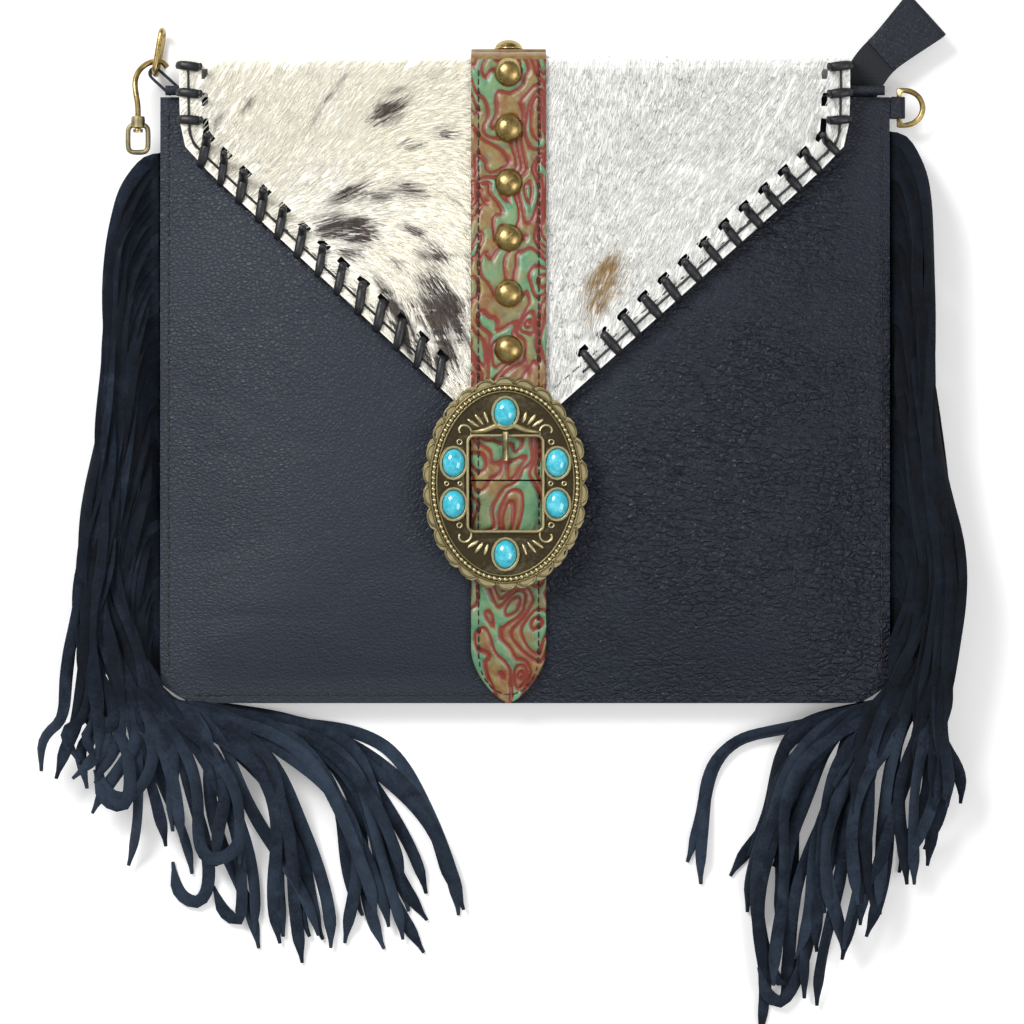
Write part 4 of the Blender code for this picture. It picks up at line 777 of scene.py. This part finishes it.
def hide_piece(node, name, body):
    piece = copy_of(node, name)
    step = piece.modifiers.new("finer", "SUBSURF")
    step.subdivision_type, step.levels, step.render_levels = "SIMPLE", 3, 3
    only(piece)
    bpy.ops.object.modifier_apply(modifier=step.name)
    bpy.ops.object.shade_smooth_by_angle(angle=math.radians(40))
    mesh = piece.data
    marks = [mark_at(v.co.x, v.co.y, -1 if v.co.x < STRAP_MID else 1) for v in mesh.vertices]
    mesh.attributes.new("mark", "FLOAT", "POINT").data.foreach_set("value", marks)
    mesh.materials.clear()
    for look in (HIDES[-1], HIDES[1], LEATHER_PLAIN):
        mesh.materials.append(look)
    for face in mesh.polygons:
        backing = body == "flap" and face.normal.z < -0.3
        face.material_index = 2 if backing else int(face.center.x > STRAP_MID)
    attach(piece, body)
    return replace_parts(piece, node)


hide_piece("flap_hide", "flap_hair_hide", "flap")
hide_piece("flap_yoke", "yoke_hair_hide", "bag")
HIDE_TOP = tree_of("flap_hide")


def hair_lean(x, y, dice, side):
    angle = hair_angle(x, y, side) + dice.gauss(0, 0.12)
    return Vector((math.cos(angle), math.sin(angle), 0))


def grow_hair(name, side, count, dice):
    """Short flat hairs on the flap, each a tapered three-sided spine."""
    shape = bmesh.new()
    mark = shape.verts.layers.float.new("mark")
    low, high = (FLAP_LOW.x, STRAP_LOW.x) if side < 0 else (STRAP_HIGH.x, FLAP_HIGH.x)
    made = 0
    while made < count:
        x, y = dice.uniform(low, high), dice.uniform(FLAP_LOW.y, FLAP_HIGH.y)
        z, normal = drop(HIDE_TOP, x, y)
        if z is None or normal.z < 0.5:
            continue
        made += 1
        length = dice.uniform(4.0, 8.0) * MM
        run = hair_lean(x, y, dice, side)
        across = Vector((-run.y, run.x, 0)) * dice.uniform(0.10, 0.19) * MM
        rise = dice.uniform(0.15, 0.5) * MM
        rings = []
        for share, thick in ((0.0, 1.0), (0.55, 0.8)):
            spot = Vector((x, y, 0)) + run * length * share
            ground, _ = drop(HIDE_TOP, spot.x, spot.y)
            if ground is None:
                break
            level = ground + rise * math.sin(share * 2.4) * 0.9 - 0.03 * MM
            rings.append([
                shape.verts.new((spot.x + across.x * thick, spot.y + across.y * thick, level)),
                shape.verts.new((spot.x - across.x * thick, spot.y - across.y * thick, level)),
                shape.verts.new((spot.x, spot.y, level + 0.22 * MM * thick)),
            ])
        tip_spot = Vector((x, y, 0)) + run * length
        ground, _ = drop(HIDE_TOP, tip_spot.x, tip_spot.y)
        if len(rings) < 2 or ground is None:
            for ring in rings:
                for vertex in ring:
                    shape.verts.remove(vertex)
            continue
        tip = shape.verts.new((tip_spot.x, tip_spot.y, ground + rise * 0.5))
        first, second = rings
        middle = Vector((x, y, 0)) + run * length * 0.45
        shade = mark_at(middle.x, middle.y, side)
        for vertex in (*first, *second, tip):
            vertex[mark] = shade
        shape.faces.new((first[2], first[1], first[0]))
        for i in range(3):
            j = (i + 1) % 3
            shape.faces.new((first[i], first[j], second[j], second[i]))
            shape.faces.new((second[i], second[j], tip))
    bmesh.ops.recalc_face_normals(shape, faces=shape.faces)
    return finish(as_piece(shape, name), HAIRS[side], "flap", "hair_hide")


for side, name in ((-1, "hair_left"), (1, "hair_right")):
    grow_hair(name, side, 8500, random.Random(41 + side))


# Lacing: each stitch comes out of its slot and wraps the edge, slanting as in the photograph
FOLD_Y = FLAP_HIGH.y
CORNER_Y, TIP_Y = FOLD_Y - 30 * MM, FLAP_LOW.y
PITCH, START, INSET, STITCHES = 9.4 * MM, 5.0 * MM, 8.8 * MM, 16


def flap_edge(side):
    """Points down one edge of the flap, and how far along it each lies."""
    full = abs(FLAP_LOW.x if side < 0 else FLAP_HIGH.x)
    tip = side * STRAP_MID + 4 * MM
    points = []
    for y in np.linspace(FOLD_Y, TIP_Y, 300):
        share = (CORNER_Y - y) / (CORNER_Y - TIP_Y)
        eased = (share + math.sqrt(share * share + 0.035**2)) / 2
        points.append((side * (full + (tip - full) * eased / ((1 + math.sqrt(1 + 0.035**2)) / 2)), y))
    return np.array(points), np.concatenate([[0], np.cumsum([math.dist(a, b) for a, b in zip(points, points[1:])])])


def on_edge(side, along, inset):
    """A place beside the flap's edge, inset metres into the hide, and the direction inwards."""
    points, runs = EDGES[side]
    here, ahead, behind = (
        np.array([np.interp(along + step, runs, points[:, k]) for k in (0, 1)]) for step in (0, MM, -MM)
    )
    run = (ahead - behind) / np.linalg.norm(ahead - behind)
    inward = np.array([run[1], -run[0]]) * side
    return here + inward * inset, inward


def hide_level(x, y, fallback):
    level, _ = drop(HIDE_TOP, x, y)
    return fallback if level is None else level


EDGES = {side: flap_edge(side) for side in (-1, 1)}


def whipstitch(name, side, dice):
    made = []
    for k in range(STITCHES):
        along = START + k * PITCH
        if k < 3:  # the short ones beside the fold
            inner, _ = on_edge(side, along - 1.6 * MM, INSET - 1.2 * MM)
            reached = along - 2.6 * MM
        else:
            inner, _ = on_edge(side, along, INSET - 0.4 * MM)
            if side < 0:
                reached = along + 0.62 * INSET + dice.uniform(-0.5, 0.5) * MM
            else:
                reached = along - (dice.uniform(-0.6, 0.6) - 0.5) * MM
        outer, inward = on_edge(side, reached, 0)
        top = hide_level(*inner, FLAP_HIGH.z)
        line = [(*inner, top - 1.2 * MM)]
        for t in (0.06, 0.25, 0.5, 0.75, 0.93):
            spot = inner + (outer - inner) * t
            line.append((*spot, hide_level(*spot, top) + (0.75 + 0.55 * math.sin(t * math.pi)) * MM))
        edge_top = hide_level(*(outer + inward * 0.6 * MM), line[-1][2] - 0.8 * MM)
        line.append((*(outer - inward * 0.75 * MM), edge_top - 0.5 * MM))
        line.append((*(outer - inward * 0.55 * MM), edge_top - 1.9 * MM))
        line.append((*(outer + inward * 1.6 * MM), edge_top - 2.5 * MM))
        line = smooth_line(line, 3)
        width = dice.uniform(1.45, 1.75) * MM
        radii = [width * (0.72 + 0.28 * math.sin(min(1, i / len(line) * 1.25) * math.pi)) for i in range(len(line))]
        made.append(tube("stitch", line, radii, sides=10, flat=0.6))
    run = [on_edge(side, a, 3.1 * MM)[0] for a in np.arange(2 * MM, START + (STITCHES - 0.4) * PITCH, 1.2 * MM)]
    cord = [(*spot, hide_level(*spot, FLAP_HIGH.z) + 0.45 * MM) for spot in run]
    made.append(tube("stitch", cord, 0.42 * MM, sides=8))
    return finish(joined(made, name), LACE, "flap", "lace", "lacing_left" if side < 0 else "lacing_right")


def smooth_line(points, rounds):
    """Chaikin's corner cutting: a smooth line that keeps its two ends."""
    points = [Vector(p) for p in points]
    for _ in range(rounds):
        eased = [points[0]]
        for a, b in zip(points, points[1:]):
            eased += [a.lerp(b, 0.25), a.lerp(b, 0.75)]
        points = eased + [points[-1]]
    return points


whipstitch("whipstitch_left", -1, random.Random(5))
whipstitch("whipstitch_right", 1, random.Random(6))


# Strap: carved leaves and scrolls as real relief, with the dye's tint kept per point
def swirl(u, v):
    """A slow field whose level lines are the carving's scrolls."""
    u2 = u + 5.0 * noise.noise(Vector((u * 0.07, v * 0.055, 1.0)))
    v2 = v + 9.0 * noise.noise(Vector((u * 0.06, v * 0.050, 9.0)))
    return noise.noise(Vector((u2 * 0.085, v2 * 0.050, 4.4))) + 0.30 * noise.noise(Vector((u2 * 0.17, v2 * 0.11, 7.0)))


def carve(u, v):
    """(relief 0 to 1, tint 0 to 1) of the strap's carving at (u, v) mm: pillowed scrolls between dyed cuts."""
    here = swirl(u, v)
    slope = math.hypot(swirl(u + 0.4, v) - here, swirl(u, v + 0.4) - here) / 0.4 + 0.008
    band = here * 4.6
    near = abs(band - round(band)) / (4.6 * slope)
    cut = math.exp(-((near / 0.72) ** 2))
    pillow = min(1.0, near / 2.2) ** 0.6
    number = math.floor(band + 0.5) if band - round(band) > 0 else math.floor(band - 0.5)
    beads = 0.5 + 0.5 * math.sin((u * 1.0 + v * 0.8) * 2.6)
    fluted = 0.12 * beads if number % 3 == 0 else 0.0
    tint = 0.30 + 0.28 * (number % 3) + 0.2 * noise.noise(Vector((u * 0.2, v * 0.2, 0)))
    return (0.55 + 0.45 * pillow - fluted) * (1 - 0.9 * cut), tint


def half_at(node, y):
    """Half the strap's width: even, then a pointed arch at its tip."""
    if node != "strap_tip":
        return STRAP_HALF
    t = min(1.0, max(0.0, (y - TIP_LOW.y) / (18.5 * MM)))
    return STRAP_HALF * max(0.03, 1 - (1 - t) ** 1.7) ** 0.72


def tooled_strap(node, name, body):
    """A fine grid laid on a CAD strap's top face, carved, with its sides and underside closed."""
    low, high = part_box(node)
    tree = tree_of(node)
    step = 0.5 * MM
    columns = int((high.x - low.x) / step)
    rows = int((high.y - low.y) / step)
    shape = bmesh.new()
    depth = shape.verts.layers.float.new("depth")
    tint = shape.verts.layers.float.new("tint")
    grid = {}
    for j in range(rows + 1):
        y = low.y + (high.y - low.y) * min(0.9995, max(0.0005, j / rows))
        for i in range(columns + 1):
            half = half_at(node, y)
            x = STRAP_MID + half * 0.999 * (2 * i / columns - 1)
            z = drop(tree, x, y)[0]
            if z is None:
                z = drop(tree, STRAP_MID, y)[0]
            relief, kind = carve((x - STRAP_MID) / MM, y / MM)
            edge = (half - abs(x - STRAP_MID)) / (0.9 * MM)
            groove = math.exp(-(((abs(x - STRAP_MID) - half + 2.6 * MM) / (0.35 * MM)) ** 2))
            fall = 0.45 * MM * (1 - min(1.0, edge)) ** 2
            carved = 0.15 * MM + (relief - 0.8) * 0.9 * MM - groove * 0.25 * MM - fall
            vertex = shape.verts.new((x, y, z + carved))
            vertex[depth], vertex[tint] = relief - 0.12 * groove, kind
            grid[i, j] = vertex
    for (i, j), vertex in grid.items():
        corners = [grid.get(spot) for spot in ((i, j), (i + 1, j), (i + 1, j + 1), (i, j + 1))]
        if all(corners):
            shape.faces.new(corners)
    bmesh.ops.delete(shape, geom=[v for v in shape.verts if not v.link_faces], context="VERTS")
    skirt = bmesh.ops.extrude_edge_only(shape, edges=[e for e in shape.edges if e.is_boundary])
    for item in skirt["geom"]:
        if isinstance(item, bmesh.types.BMVert):
            item.co.z -= 1.9 * MM
            item[depth] = 0.55
    bmesh.ops.holes_fill(shape, edges=[e for e in shape.edges if e.is_boundary])
    bmesh.ops.recalc_face_normals(shape, faces=shape.faces)
    piece = finish(as_piece(shape, name, 55), TOOLED, body, "tooled_leather", node)
    piece.data.materials.append(LEATHER_PLAIN)
    for face in piece.data.polygons:
        face.material_index = int(face.normal.z < -0.5)
    return piece


def uncarved(mesh, tint):
    """Gives a plain stretch of the strap an even tint and depth."""
    for label, value in (("tint", tint), ("depth", 0.65)):
        kept = mesh.attributes.new(label, "FLOAT", "POINT")
        kept.data.foreach_set("value", [value] * len(mesh.vertices))


tooled_strap("strap_upper", "strap_carved", "flap")
tooled_strap("strap_tip", "strap_tip_carved", "flap")


# Studs: turned domes on a thin collar
def lathe(name, outline, segments=40):
    """A closed turned shape about +Z from (radius, height) pairs, its first and last on the axis."""
    bpy.ops.object.select_all(action="DESELECT")
    bpy.ops.mesh.primitive_circle_add(vertices=segments, radius=outline[1][0], location=(0, 0, outline[1][1]))
    piece = bpy.context.object
    piece.name = name
    shape = bmesh.new()
    rings = []
    for radius, height in outline[1:-1]:
        rings.append([
            shape.verts.new((radius * math.cos(a), radius * math.sin(a), height))
            for a in (math.tau * i / segments for i in range(segments))
        ])
    low, high = (shape.verts.new((0, 0, outline[i][1])) for i in (0, -1))
    skin(shape, rings, capped=False)
    for i in range(segments):
        j = (i + 1) % segments
        shape.faces.new((rings[0][j], rings[0][i], low))
        shape.faces.new((rings[-1][i], rings[-1][j], high))
    bmesh.ops.recalc_face_normals(shape, faces=shape.faces)
    shape.to_mesh(piece.data)
    shape.free()
    piece.data.shade_smooth()
    return piece


def placed(mesh_from, name, where, normal, turn=0.0, scale=(1, 1, 1)):
    """A copy of a master piece at a place, its +Z along normal, with its place in its mesh."""
    piece = bpy.data.objects.new(name, mesh_from.data.copy())
    bpy.context.scene.collection.objects.link(piece)
    spin = Vector((0, 0, 1)).rotation_difference(normal).to_matrix().to_4x4()
    piece.data.transform(
        Matrix.Translation(where) @ spin @ Matrix.Rotation(turn, 4, "Z") @ Matrix.Diagonal((*scale, 1))
    )
    return piece


R = 4.85 * MM
dome = [(0, 0), (R * 0.96, 0), (R * 1.02, 0.25 * MM), (R * 0.99, 0.55 * MM)]
dome += [(R * 0.95 * math.cos(a), 0.5 * MM + 2.9 * MM * math.sin(a)) for a in np.linspace(0.12, 1.45, 9)]
dome += [(0, 3.42 * MM)]
stud = lathe("stud_master", dome)
STRAP_TREE = tree_of("strap_upper")
for index in range(1, 8):
    node = f"stud_{index}"
    low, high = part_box(node)
    base = Vector(((low.x + high.x) / 2, (low.y + high.y) / 2, low.z))
    if index < 7:
        above = drop(STRAP_TREE, base.x, base.y + 6.2 * MM)[0] or base.z
        below = drop(STRAP_TREE, base.x, base.y - 6.2 * MM)[0] or above
        level = index == 1
        facing = Vector((0, 0 if level else -(above - below) / (12.4 * MM), 1)).normalized()
    else:
        facing = Vector((0, 1, 0))
        base = Vector(((low.x + high.x) / 2, low.y, (low.z + high.z) / 2))
    made = placed(stud, f"brass_{node}", base + facing * 0.05 * MM, facing)
    finish(made, BRASS, "bag" if index == 7 else "flap", "brass", node)
bpy.data.objects.remove(stud)


# Concho: scalloped plate, rope of beads, punched fans and curls, window frame and cabochons
CX, CY = CONCHO_MID.x, CONCHO_MID.y
PLATE_TREE = tree_of("concho")


probes = ((-15, 20), (15, 20), (-15, -20), (15, -20), (-22, 0), (22, 0))  # bare places, mm from its middle
levels = [drop(PLATE_TREE, CX + dx * MM, CY + dy * MM)[0] for dx, dy in probes]
levels = sorted(z for z in levels if z is not None)
PLATE_LEVEL = levels[len(levels) // 2]

concho = copy_of("concho", "concho_plate")
only(concho)
bpy.ops.object.shade_smooth_by_angle(angle=math.radians(35))
finish(concho, BRONZE, "flap", "bronze", "concho")


def oval(width, height, count, z, turn=0.0):
    """Points spaced evenly round an oval about the concho's middle."""
    fine = [math.tau * i / 720 + turn for i in range(721)]
    line = [(CX + width / 2 * math.cos(a), CY + height / 2 * math.sin(a)) for a in fine]
    run = np.concatenate([[0], np.cumsum([math.dist(a, b) for a, b in zip(line, line[1:])])])
    wanted = np.linspace(0, run[-1], count, endpoint=False)
    xs = np.interp(wanted, run, [p[0] for p in line])
    ys = np.interp(wanted, run, [p[1] for p in line])
    return [(x, y, z) for x, y in zip(xs, ys)]


bpy.ops.object.select_all(action="DESELECT")
bpy.ops.mesh.primitive_uv_sphere_add(segments=10, ring_count=6, radius=0.78 * MM)
bead = bpy.context.object
bead.data.shade_smooth()
beads = [
    placed(bead, "bead", Vector(spot), Vector((0, 0, 1)), 0, (1, 1, 0.9))
    for spot in oval(49.6 * MM, 65.8 * MM, 96, PLATE_LEVEL + 0.75 * MM)
]
finish(joined(beads, "concho_beads"), BRIGHT, "flap", "bronze")
bpy.data.objects.remove(bead)

wires = [
    tube("w", oval(51.9 * MM, 68.1 * MM, 140, PLATE_LEVEL + 0.25 * MM), 0.40 * MM, True),
    tube("w", oval(47.3 * MM, 63.5 * MM, 140, PLATE_LEVEL + 0.25 * MM), 0.40 * MM, True),
]
# Each scallop is a fan of its own: a raised lip
scallops = oval(55.6 * MM, 72.0 * MM, 26, 0, math.pi / 26)
for k, (x, y, _) in enumerate(scallops):
    out = Vector(((x - CX) / 27.8**2, (y - CY) / 36.0**2, 0)).normalized()
    side = Vector((-out.y, out.x, 0))
    middle = Vector((x, y, PLATE_LEVEL + 0.1 * MM)) - out * 2.1 * MM
    lip = [
        middle + side * 3.35 * MM * math.sin(a) + out * 2.55 * MM * math.cos(a)
        for a in np.linspace(-1.45, 1.45, 11)
    ]
    wires.append(tube("w", lip, 0.42 * MM))
finish(joined(wires, "concho_lips"), DULL, "flap", "bronze")

punched = []
for up in (-1, 1):
    for side in (-1, 1):
        for k, (angle, reach) in enumerate(((14, 7.2), (30, 7.6), (47, 7.0))):
            a = math.radians(angle)
            start = Vector((CX + side * (5.9 + 1.6 * k) * MM, CY + up * (20.6 - 0.6 * k) * MM, PLATE_LEVEL))
            end = start + Vector((side * math.sin(a), up * math.cos(a) * 0.75, 0)) * reach * 0.78 * MM
            line = [start.lerp(end, t) for t in np.linspace(0, 1, 7)]
            drops = [MM * (0.18 + 0.55 * math.sin(min(1, t * 1.1) * 2.6)) for t in np.linspace(0.05, 1, 7)]
            punched.append(tube("p", line, drops))
        mid = Vector((CX + side * 14.5 * MM, CY + up * 18.0 * MM, PLATE_LEVEL))
        curl = []
        for t in np.linspace(0, 1, 14):
            reach, a = 1.2 + 2.0 * t, 4.9 * t - 0.6
            curl.append(mid + Vector((side * reach * math.cos(a), up * reach * math.sin(a), 0)) * MM)
        punched.append(tube("p", curl, [MM * (0.50 - 0.25 * abs(t - 0.4)) for t in np.linspace(0, 1, 14)]))
        for dx, dy, radius in ((15.8, 14.3, 0.75), (15.6, 0.0, 0.6), (20.2, 0.0, 0.6)):
            if dy == 0 and up < 0:
                continue
            hub = Vector((CX + side * dx * MM, CY + up * dy * MM, PLATE_LEVEL))
            ring = [
                hub + Vector((math.cos(a), math.sin(a), 0)) * 1.15 * radius * MM
                for a in (math.tau * i / 12 for i in range(12))
            ]
            punched.append(tube("p", ring, 0.28 * MM, True, 6))
finish(joined(punched, "concho_fans"), BRIGHT, "flap", "bronze")

# Window frame with a low pediment on top
half_w, half_h, corner = 13.0 * MM, 16.5 * MM, 2.2 * MM
frame_line = []
for sx, sy, first in ((1, 1, 0), (-1, 1, 90), (-1, -1, 180), (1, -1, 270)):
    for k in range(6):
        a = math.radians(first + 18 * k)
        x = CX + sx * (half_w - corner) + corner * math.cos(a)
        y = CY + sy * (half_h - corner) + corner * math.sin(a)
        frame_line.append((x, y, PLATE_LEVEL + 0.65 * MM))
rail = tube("rail", frame_line, 0.62 * MM, True, 10)
pediment = ((-12, 17.6), (-7, 18.3), (-3.4, 19.8), (3.4, 19.8), (7, 18.3), (12, 17.6))  # mm
crest = [(CX + x * MM, CY + y * MM, PLATE_LEVEL + 0.45 * MM) for x, y in pediment]
crest = tube("crest", crest, [MM * r for r in (0.5, 0.9, 1.2, 1.2, 0.9, 0.5)], False, 10, 0.7)
finish(joined([rail, crest], "concho_window_frame"), BRONZE, "flap", "bronze")

for index in range(1, 7):
    node = f"stone_{index}"
    low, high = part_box(node)
    middle = (low + high) / 2
    made = rounded(copy_of(node, f"cabochon_{index}"), 2, 70)
    finish(made, STONE, "flap", "stone", node)
    wide, tall = (high.x - low.x) / 2 + 0.35 * MM, (high.y - low.y) / 2 + 0.35 * MM
    collar = [
        (middle.x + wide * math.cos(a), middle.y + tall * math.sin(a), low.z + 0.35 * MM)
        for a in (math.tau * i / 40 for i in range(40))
    ]
    finish(tube(f"bezel_{index}", collar, 0.5 * MM, True), BRONZE, "flap", "bronze")
finish(rounded(copy_of("concho_prong", "buckle_prong"), 2, 60, 0.3), BRIGHT, "flap", "bronze", "concho_prong")


# Hardware, tabs and the zip: rounded copies of their solids
for node, body, look, slot_name in (
    ("ring_left", "ring_left", BRASS, "brass"),
    ("ring_right", "ring_right", BRASS, "brass"),
    ("clasp_hook", "bag", BRASS, "brass"),
    ("clasp_eye", "clasp_eye", BRONZE, "bronze"),
    ("zip_puller", "zip_puller", BRASS, "brass"),
):
    finish(rounded(copy_of(node, node + "_cast"), 2, 60, 0.2), look, body, slot_name, node)
for node, look, slot_name in (
    ("ring_tab_left", LEATHER_PLAIN, "pebbled_leather"),
    ("ring_tab_right", LEATHER_PLAIN, "pebbled_leather"),
    ("zip_end_tab", LEATHER_PLAIN, "pebbled_leather"),
    ("zip_tail", TAPE, "zip_tape"),
):
    finish(rounded(copy_of(node, node + "_soft"), 2, 50, 0.15), look, "bag", slot_name, node)
finish(edge_round(copy_of("zip_slider", "slider_cast"), 0.25 * MM), BRASS, "zip_slider", "brass", "zip_slider")
strap_back = edge_round(copy_of("strap_yoke", "strap_behind"), 0.4 * MM)
uncarved(strap_back.data, 0.0)
finish(strap_back, TOOLED, "bag", "tooled_leather", "strap_yoke")


# Thread: stitches built one by one along each seam
def seam(
    name, points, tree, body, slot_name, length=2.2 * MM, pitch=3.0 * MM, thick=0.28 * MM, lift=0.0
):
    """Even stitches along a line of (x, y) points, each lying on what is below it."""
    run = np.concatenate([[0], np.cumsum([math.dist(a, b) for a, b in zip(points, points[1:])])])
    made = []
    for s in np.arange(pitch, run[-1] - pitch / 2, pitch):
        spots = []
        for step in (-0.5, -0.25, 0, 0.25, 0.5):
            x = np.interp(s + step * length, run, [p[0] for p in points])
            y = np.interp(s + step * length, run, [p[1] for p in points])
            z, _ = drop(tree, x, y)
            if z is None:
                break
            spots.append((x, y, z + lift + thick * (0.75 - 3.0 * step * step)))
        if len(spots) == 5:
            made.append(tube("stitch", spots, [thick * r for r in (0.6, 1, 1, 1, 0.6)], sides=6))
    return finish(joined(made, name), THREAD, body, slot_name)


def down(x, top, bottom):
    return [(x, y) for y in np.linspace(top, bottom, 12)]


tip_tree = tree_of("strap_tip")
stitch_x = STRAP_HALF - 2.6 * MM
for side, word in ((-1, "left"), (1, "right")):
    x = STRAP_MID + side * stitch_x
    line = down(x, STRAP_HIGH.y - 2 * MM, STRAP_LOW.y + MM)
    seam(f"strap_thread_{word}", line, STRAP_TREE, "flap", "tooled_leather")
tip_line = down(STRAP_MID - stitch_x, TIP_HIGH.y - MM, TIP_LOW.y + 17 * MM)
tip_line += [
    (STRAP_MID + stitch_x * math.cos(a), TIP_LOW.y + 17 * MM + 14 * MM * math.sin(a))
    for a in np.linspace(math.pi, math.tau, 24)
]
tip_line += down(STRAP_MID + stitch_x, TIP_LOW.y + 17 * MM, TIP_HIGH.y - MM)
seam("strap_tip_thread", tip_line, tip_tree, "flap", "tooled_leather")

# A row of thread along the hide's edge, inside the lace, and one along the body's bottom seam
corner_y, tip_y = FLAP_HIGH.y - 30 * MM, FLAP_LOW.y + 3 * MM
for side, word, edge in ((-1, "left", FLAP_LOW.x), (1, "right", FLAP_HIGH.x)):
    inset = -side * 3.2 * MM
    line = [(edge + inset, FLAP_HIGH.y - 4 * MM), (edge + inset, corner_y + 4 * MM)]
    line += [(edge + inset * 1.7, corner_y - 1 * MM), (STRAP_MID + side * 15 * MM, tip_y + 14.5 * MM)]
    run = [0, *np.cumsum([math.dist(a, b) for a, b in zip(line, line[1:])])]
    even = np.linspace(0, run[-1], 60)
    line = list(zip(np.interp(even, run, [p[0] for p in line]), np.interp(even, run, [p[1] for p in line])))
    seam(f"hide_thread_{word}", line, HIDE_TOP, "flap", "hair_hide", 3.4 * MM, 4.4 * MM, 0.22 * MM)
front_tree = tree_of("front_panel")
BODY_STITCH = (2.6 * MM, 3.4 * MM, 0.2 * MM, 0.15 * MM)  # length, pitch, thickness, lift
bottom = [(x, BODY_LOW.y + 3.0 * MM) for x in np.linspace(BODY_LOW.x + 10 * MM, BODY_HIGH.x - 10 * MM, 80)]
seam("bottom_thread", bottom, front_tree, "bag", "pebbled_leather", *BODY_STITCH)
for side, word in ((-1, "left"), (1, "right")):
    line = down(side * (BODY_HIGH.x - 3.0 * MM), BODY_HIGH.y - 3 * MM, BODY_LOW.y + 11 * MM)
    seam(f"side_thread_{word}", line, front_tree, "bag", "pebbled_leather", *BODY_STITCH)


# Fold: hide and strap rolled over the top edge
def roll(name, low_x, high_x, out, look, radius):
    """A quarter-round sheet over the fold between the wall behind and the flap."""
    top = drop(HIDE_TOP, low_x + 4 * MM, FLAP_HIGH.y - 3 * MM)[0]
    spine_y, spine_z = FLAP_HIGH.y - radius + 0.6 * MM + out, top - radius + 0.12 * MM + out
    bend = np.linspace(-0.25, math.pi / 2 + 0.3, 12)
    shape = bmesh.new()
    rings = []
    for x in np.linspace(low_x, high_x, 60):
        ring = []
        for reach, angles in ((radius, bend), (radius - 1.6 * MM, bend[::-1])):
            for a in angles:
                ring.append(shape.verts.new((x, spine_y + reach * math.cos(a), spine_z + reach * math.sin(a))))
        rings.append(ring)
    skin(shape, rings)
    bmesh.ops.recalc_face_normals(shape, faces=shape.faces)
    piece = as_piece(shape, name, 50)
    mesh = piece.data
    if look is TOOLED:
        uncarved(mesh, 0.2)
    mesh.materials.append(look)
    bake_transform(piece)
    return piece


roll("fold_hide_left", FLAP_LOW.x + 0.2 * MM, STRAP_LOW.x, 0, HIDES[-1], 3.4 * MM)
roll("fold_strap", STRAP_LOW.x, STRAP_HIGH.x, 1.75 * MM, TOOLED, 5.2 * MM)
roll("fold_hide_right", STRAP_HIGH.x, FLAP_HIGH.x - 0.2 * MM, 0, HIDES[1], 3.4 * MM)


# Floor, lights and camera: straight above, at the photograph's scale
bpy.ops.object.select_all(action="DESELECT")
bpy.ops.mesh.primitive_plane_add(size=6, location=(0, 0, cad_box[0][2] - 0.2 * MM))
floor = bpy.context.object
floor.name = "floor"
paper, tree, shader, place = start_material("white paper", Roughness=0.9)
shader.inputs["Base Color"].default_value = linear("#f4f4f4")
rays = add_node(tree, "ShaderNodeLightPath").outputs
seen = maths(tree, "MAXIMUM", rays["Is Glossy Ray"], rays["Is Transmission Ray"])
seen = maths(tree, "MAXIMUM", rays["Is Camera Ray"], seen)
tree.links.new(maths(tree, "MULTIPLY", seen, 0.22), shader.inputs["Emission Strength"])
shader.inputs["Emission Color"].default_value = (1, 1, 1, 1)
floor.data.materials.append(paper)

world = bpy.data.worlds.new("studio")
bpy.context.scene.world = world
world.use_nodes = True
tree = world.node_tree
sky = tree.nodes["Background"]
rays = add_node(tree, "ShaderNodeLightPath").outputs
up = parts_of(tree, add_node(tree, "ShaderNodeTexCoord").outputs["Generated"])[2]
glow = ramp(tree, between(tree, up, -0.1, 1.0), [(0.0, "#8a8a8a"), (0.55, "#b8b8b8"), (1.0, "#f2f2f2")])
tree.links.new(blend_colors(tree, rays["Is Camera Ray"], glow, (1, 1, 1, 1)), sky.inputs["Color"])
tree.links.new(between(tree, rays["Is Camera Ray"], 0, 1, 0.72, 1.0), sky.inputs["Strength"])


def softbox(name, place, aim, width, height, watts):
    lamp = bpy.data.lights.new(name, "AREA")
    lamp.shape, lamp.size, lamp.size_y, lamp.energy = "RECTANGLE", width, height, watts
    made = bpy.data.objects.new(name, lamp)
    bpy.context.scene.collection.objects.link(made)
    made.location = place
    made.rotation_euler = (Vector(aim) - Vector(place)).to_track_quat("-Z", "Y").to_euler()


softbox("key", (-0.9, 0.9, 1.3), (0, 0, 0), 0.7, 0.7, 26)
softbox("fill", (1.1, -0.4, 1.4), (0, 0, 0), 0.9, 0.9, 10.5)

PIXEL = 0.348 * MM
VIEW_X, VIEW_Y = -13 * PIXEL, -112 * PIXEL  # the photograph's middle, from the bag's middle
DISTANCE = 1.6
camera = bpy.data.objects.new("camera", bpy.data.cameras.new("camera"))
bpy.context.scene.collection.objects.link(camera)
camera.data.sensor_width = 36
camera.data.lens = 36 * (DISTANCE - 0.012) / (1024 * PIXEL)
camera.location = (VIEW_X, VIEW_Y, DISTANCE)
bpy.context.scene.camera = camera
bpy.context.scene.view_settings.view_transform = "Standard"
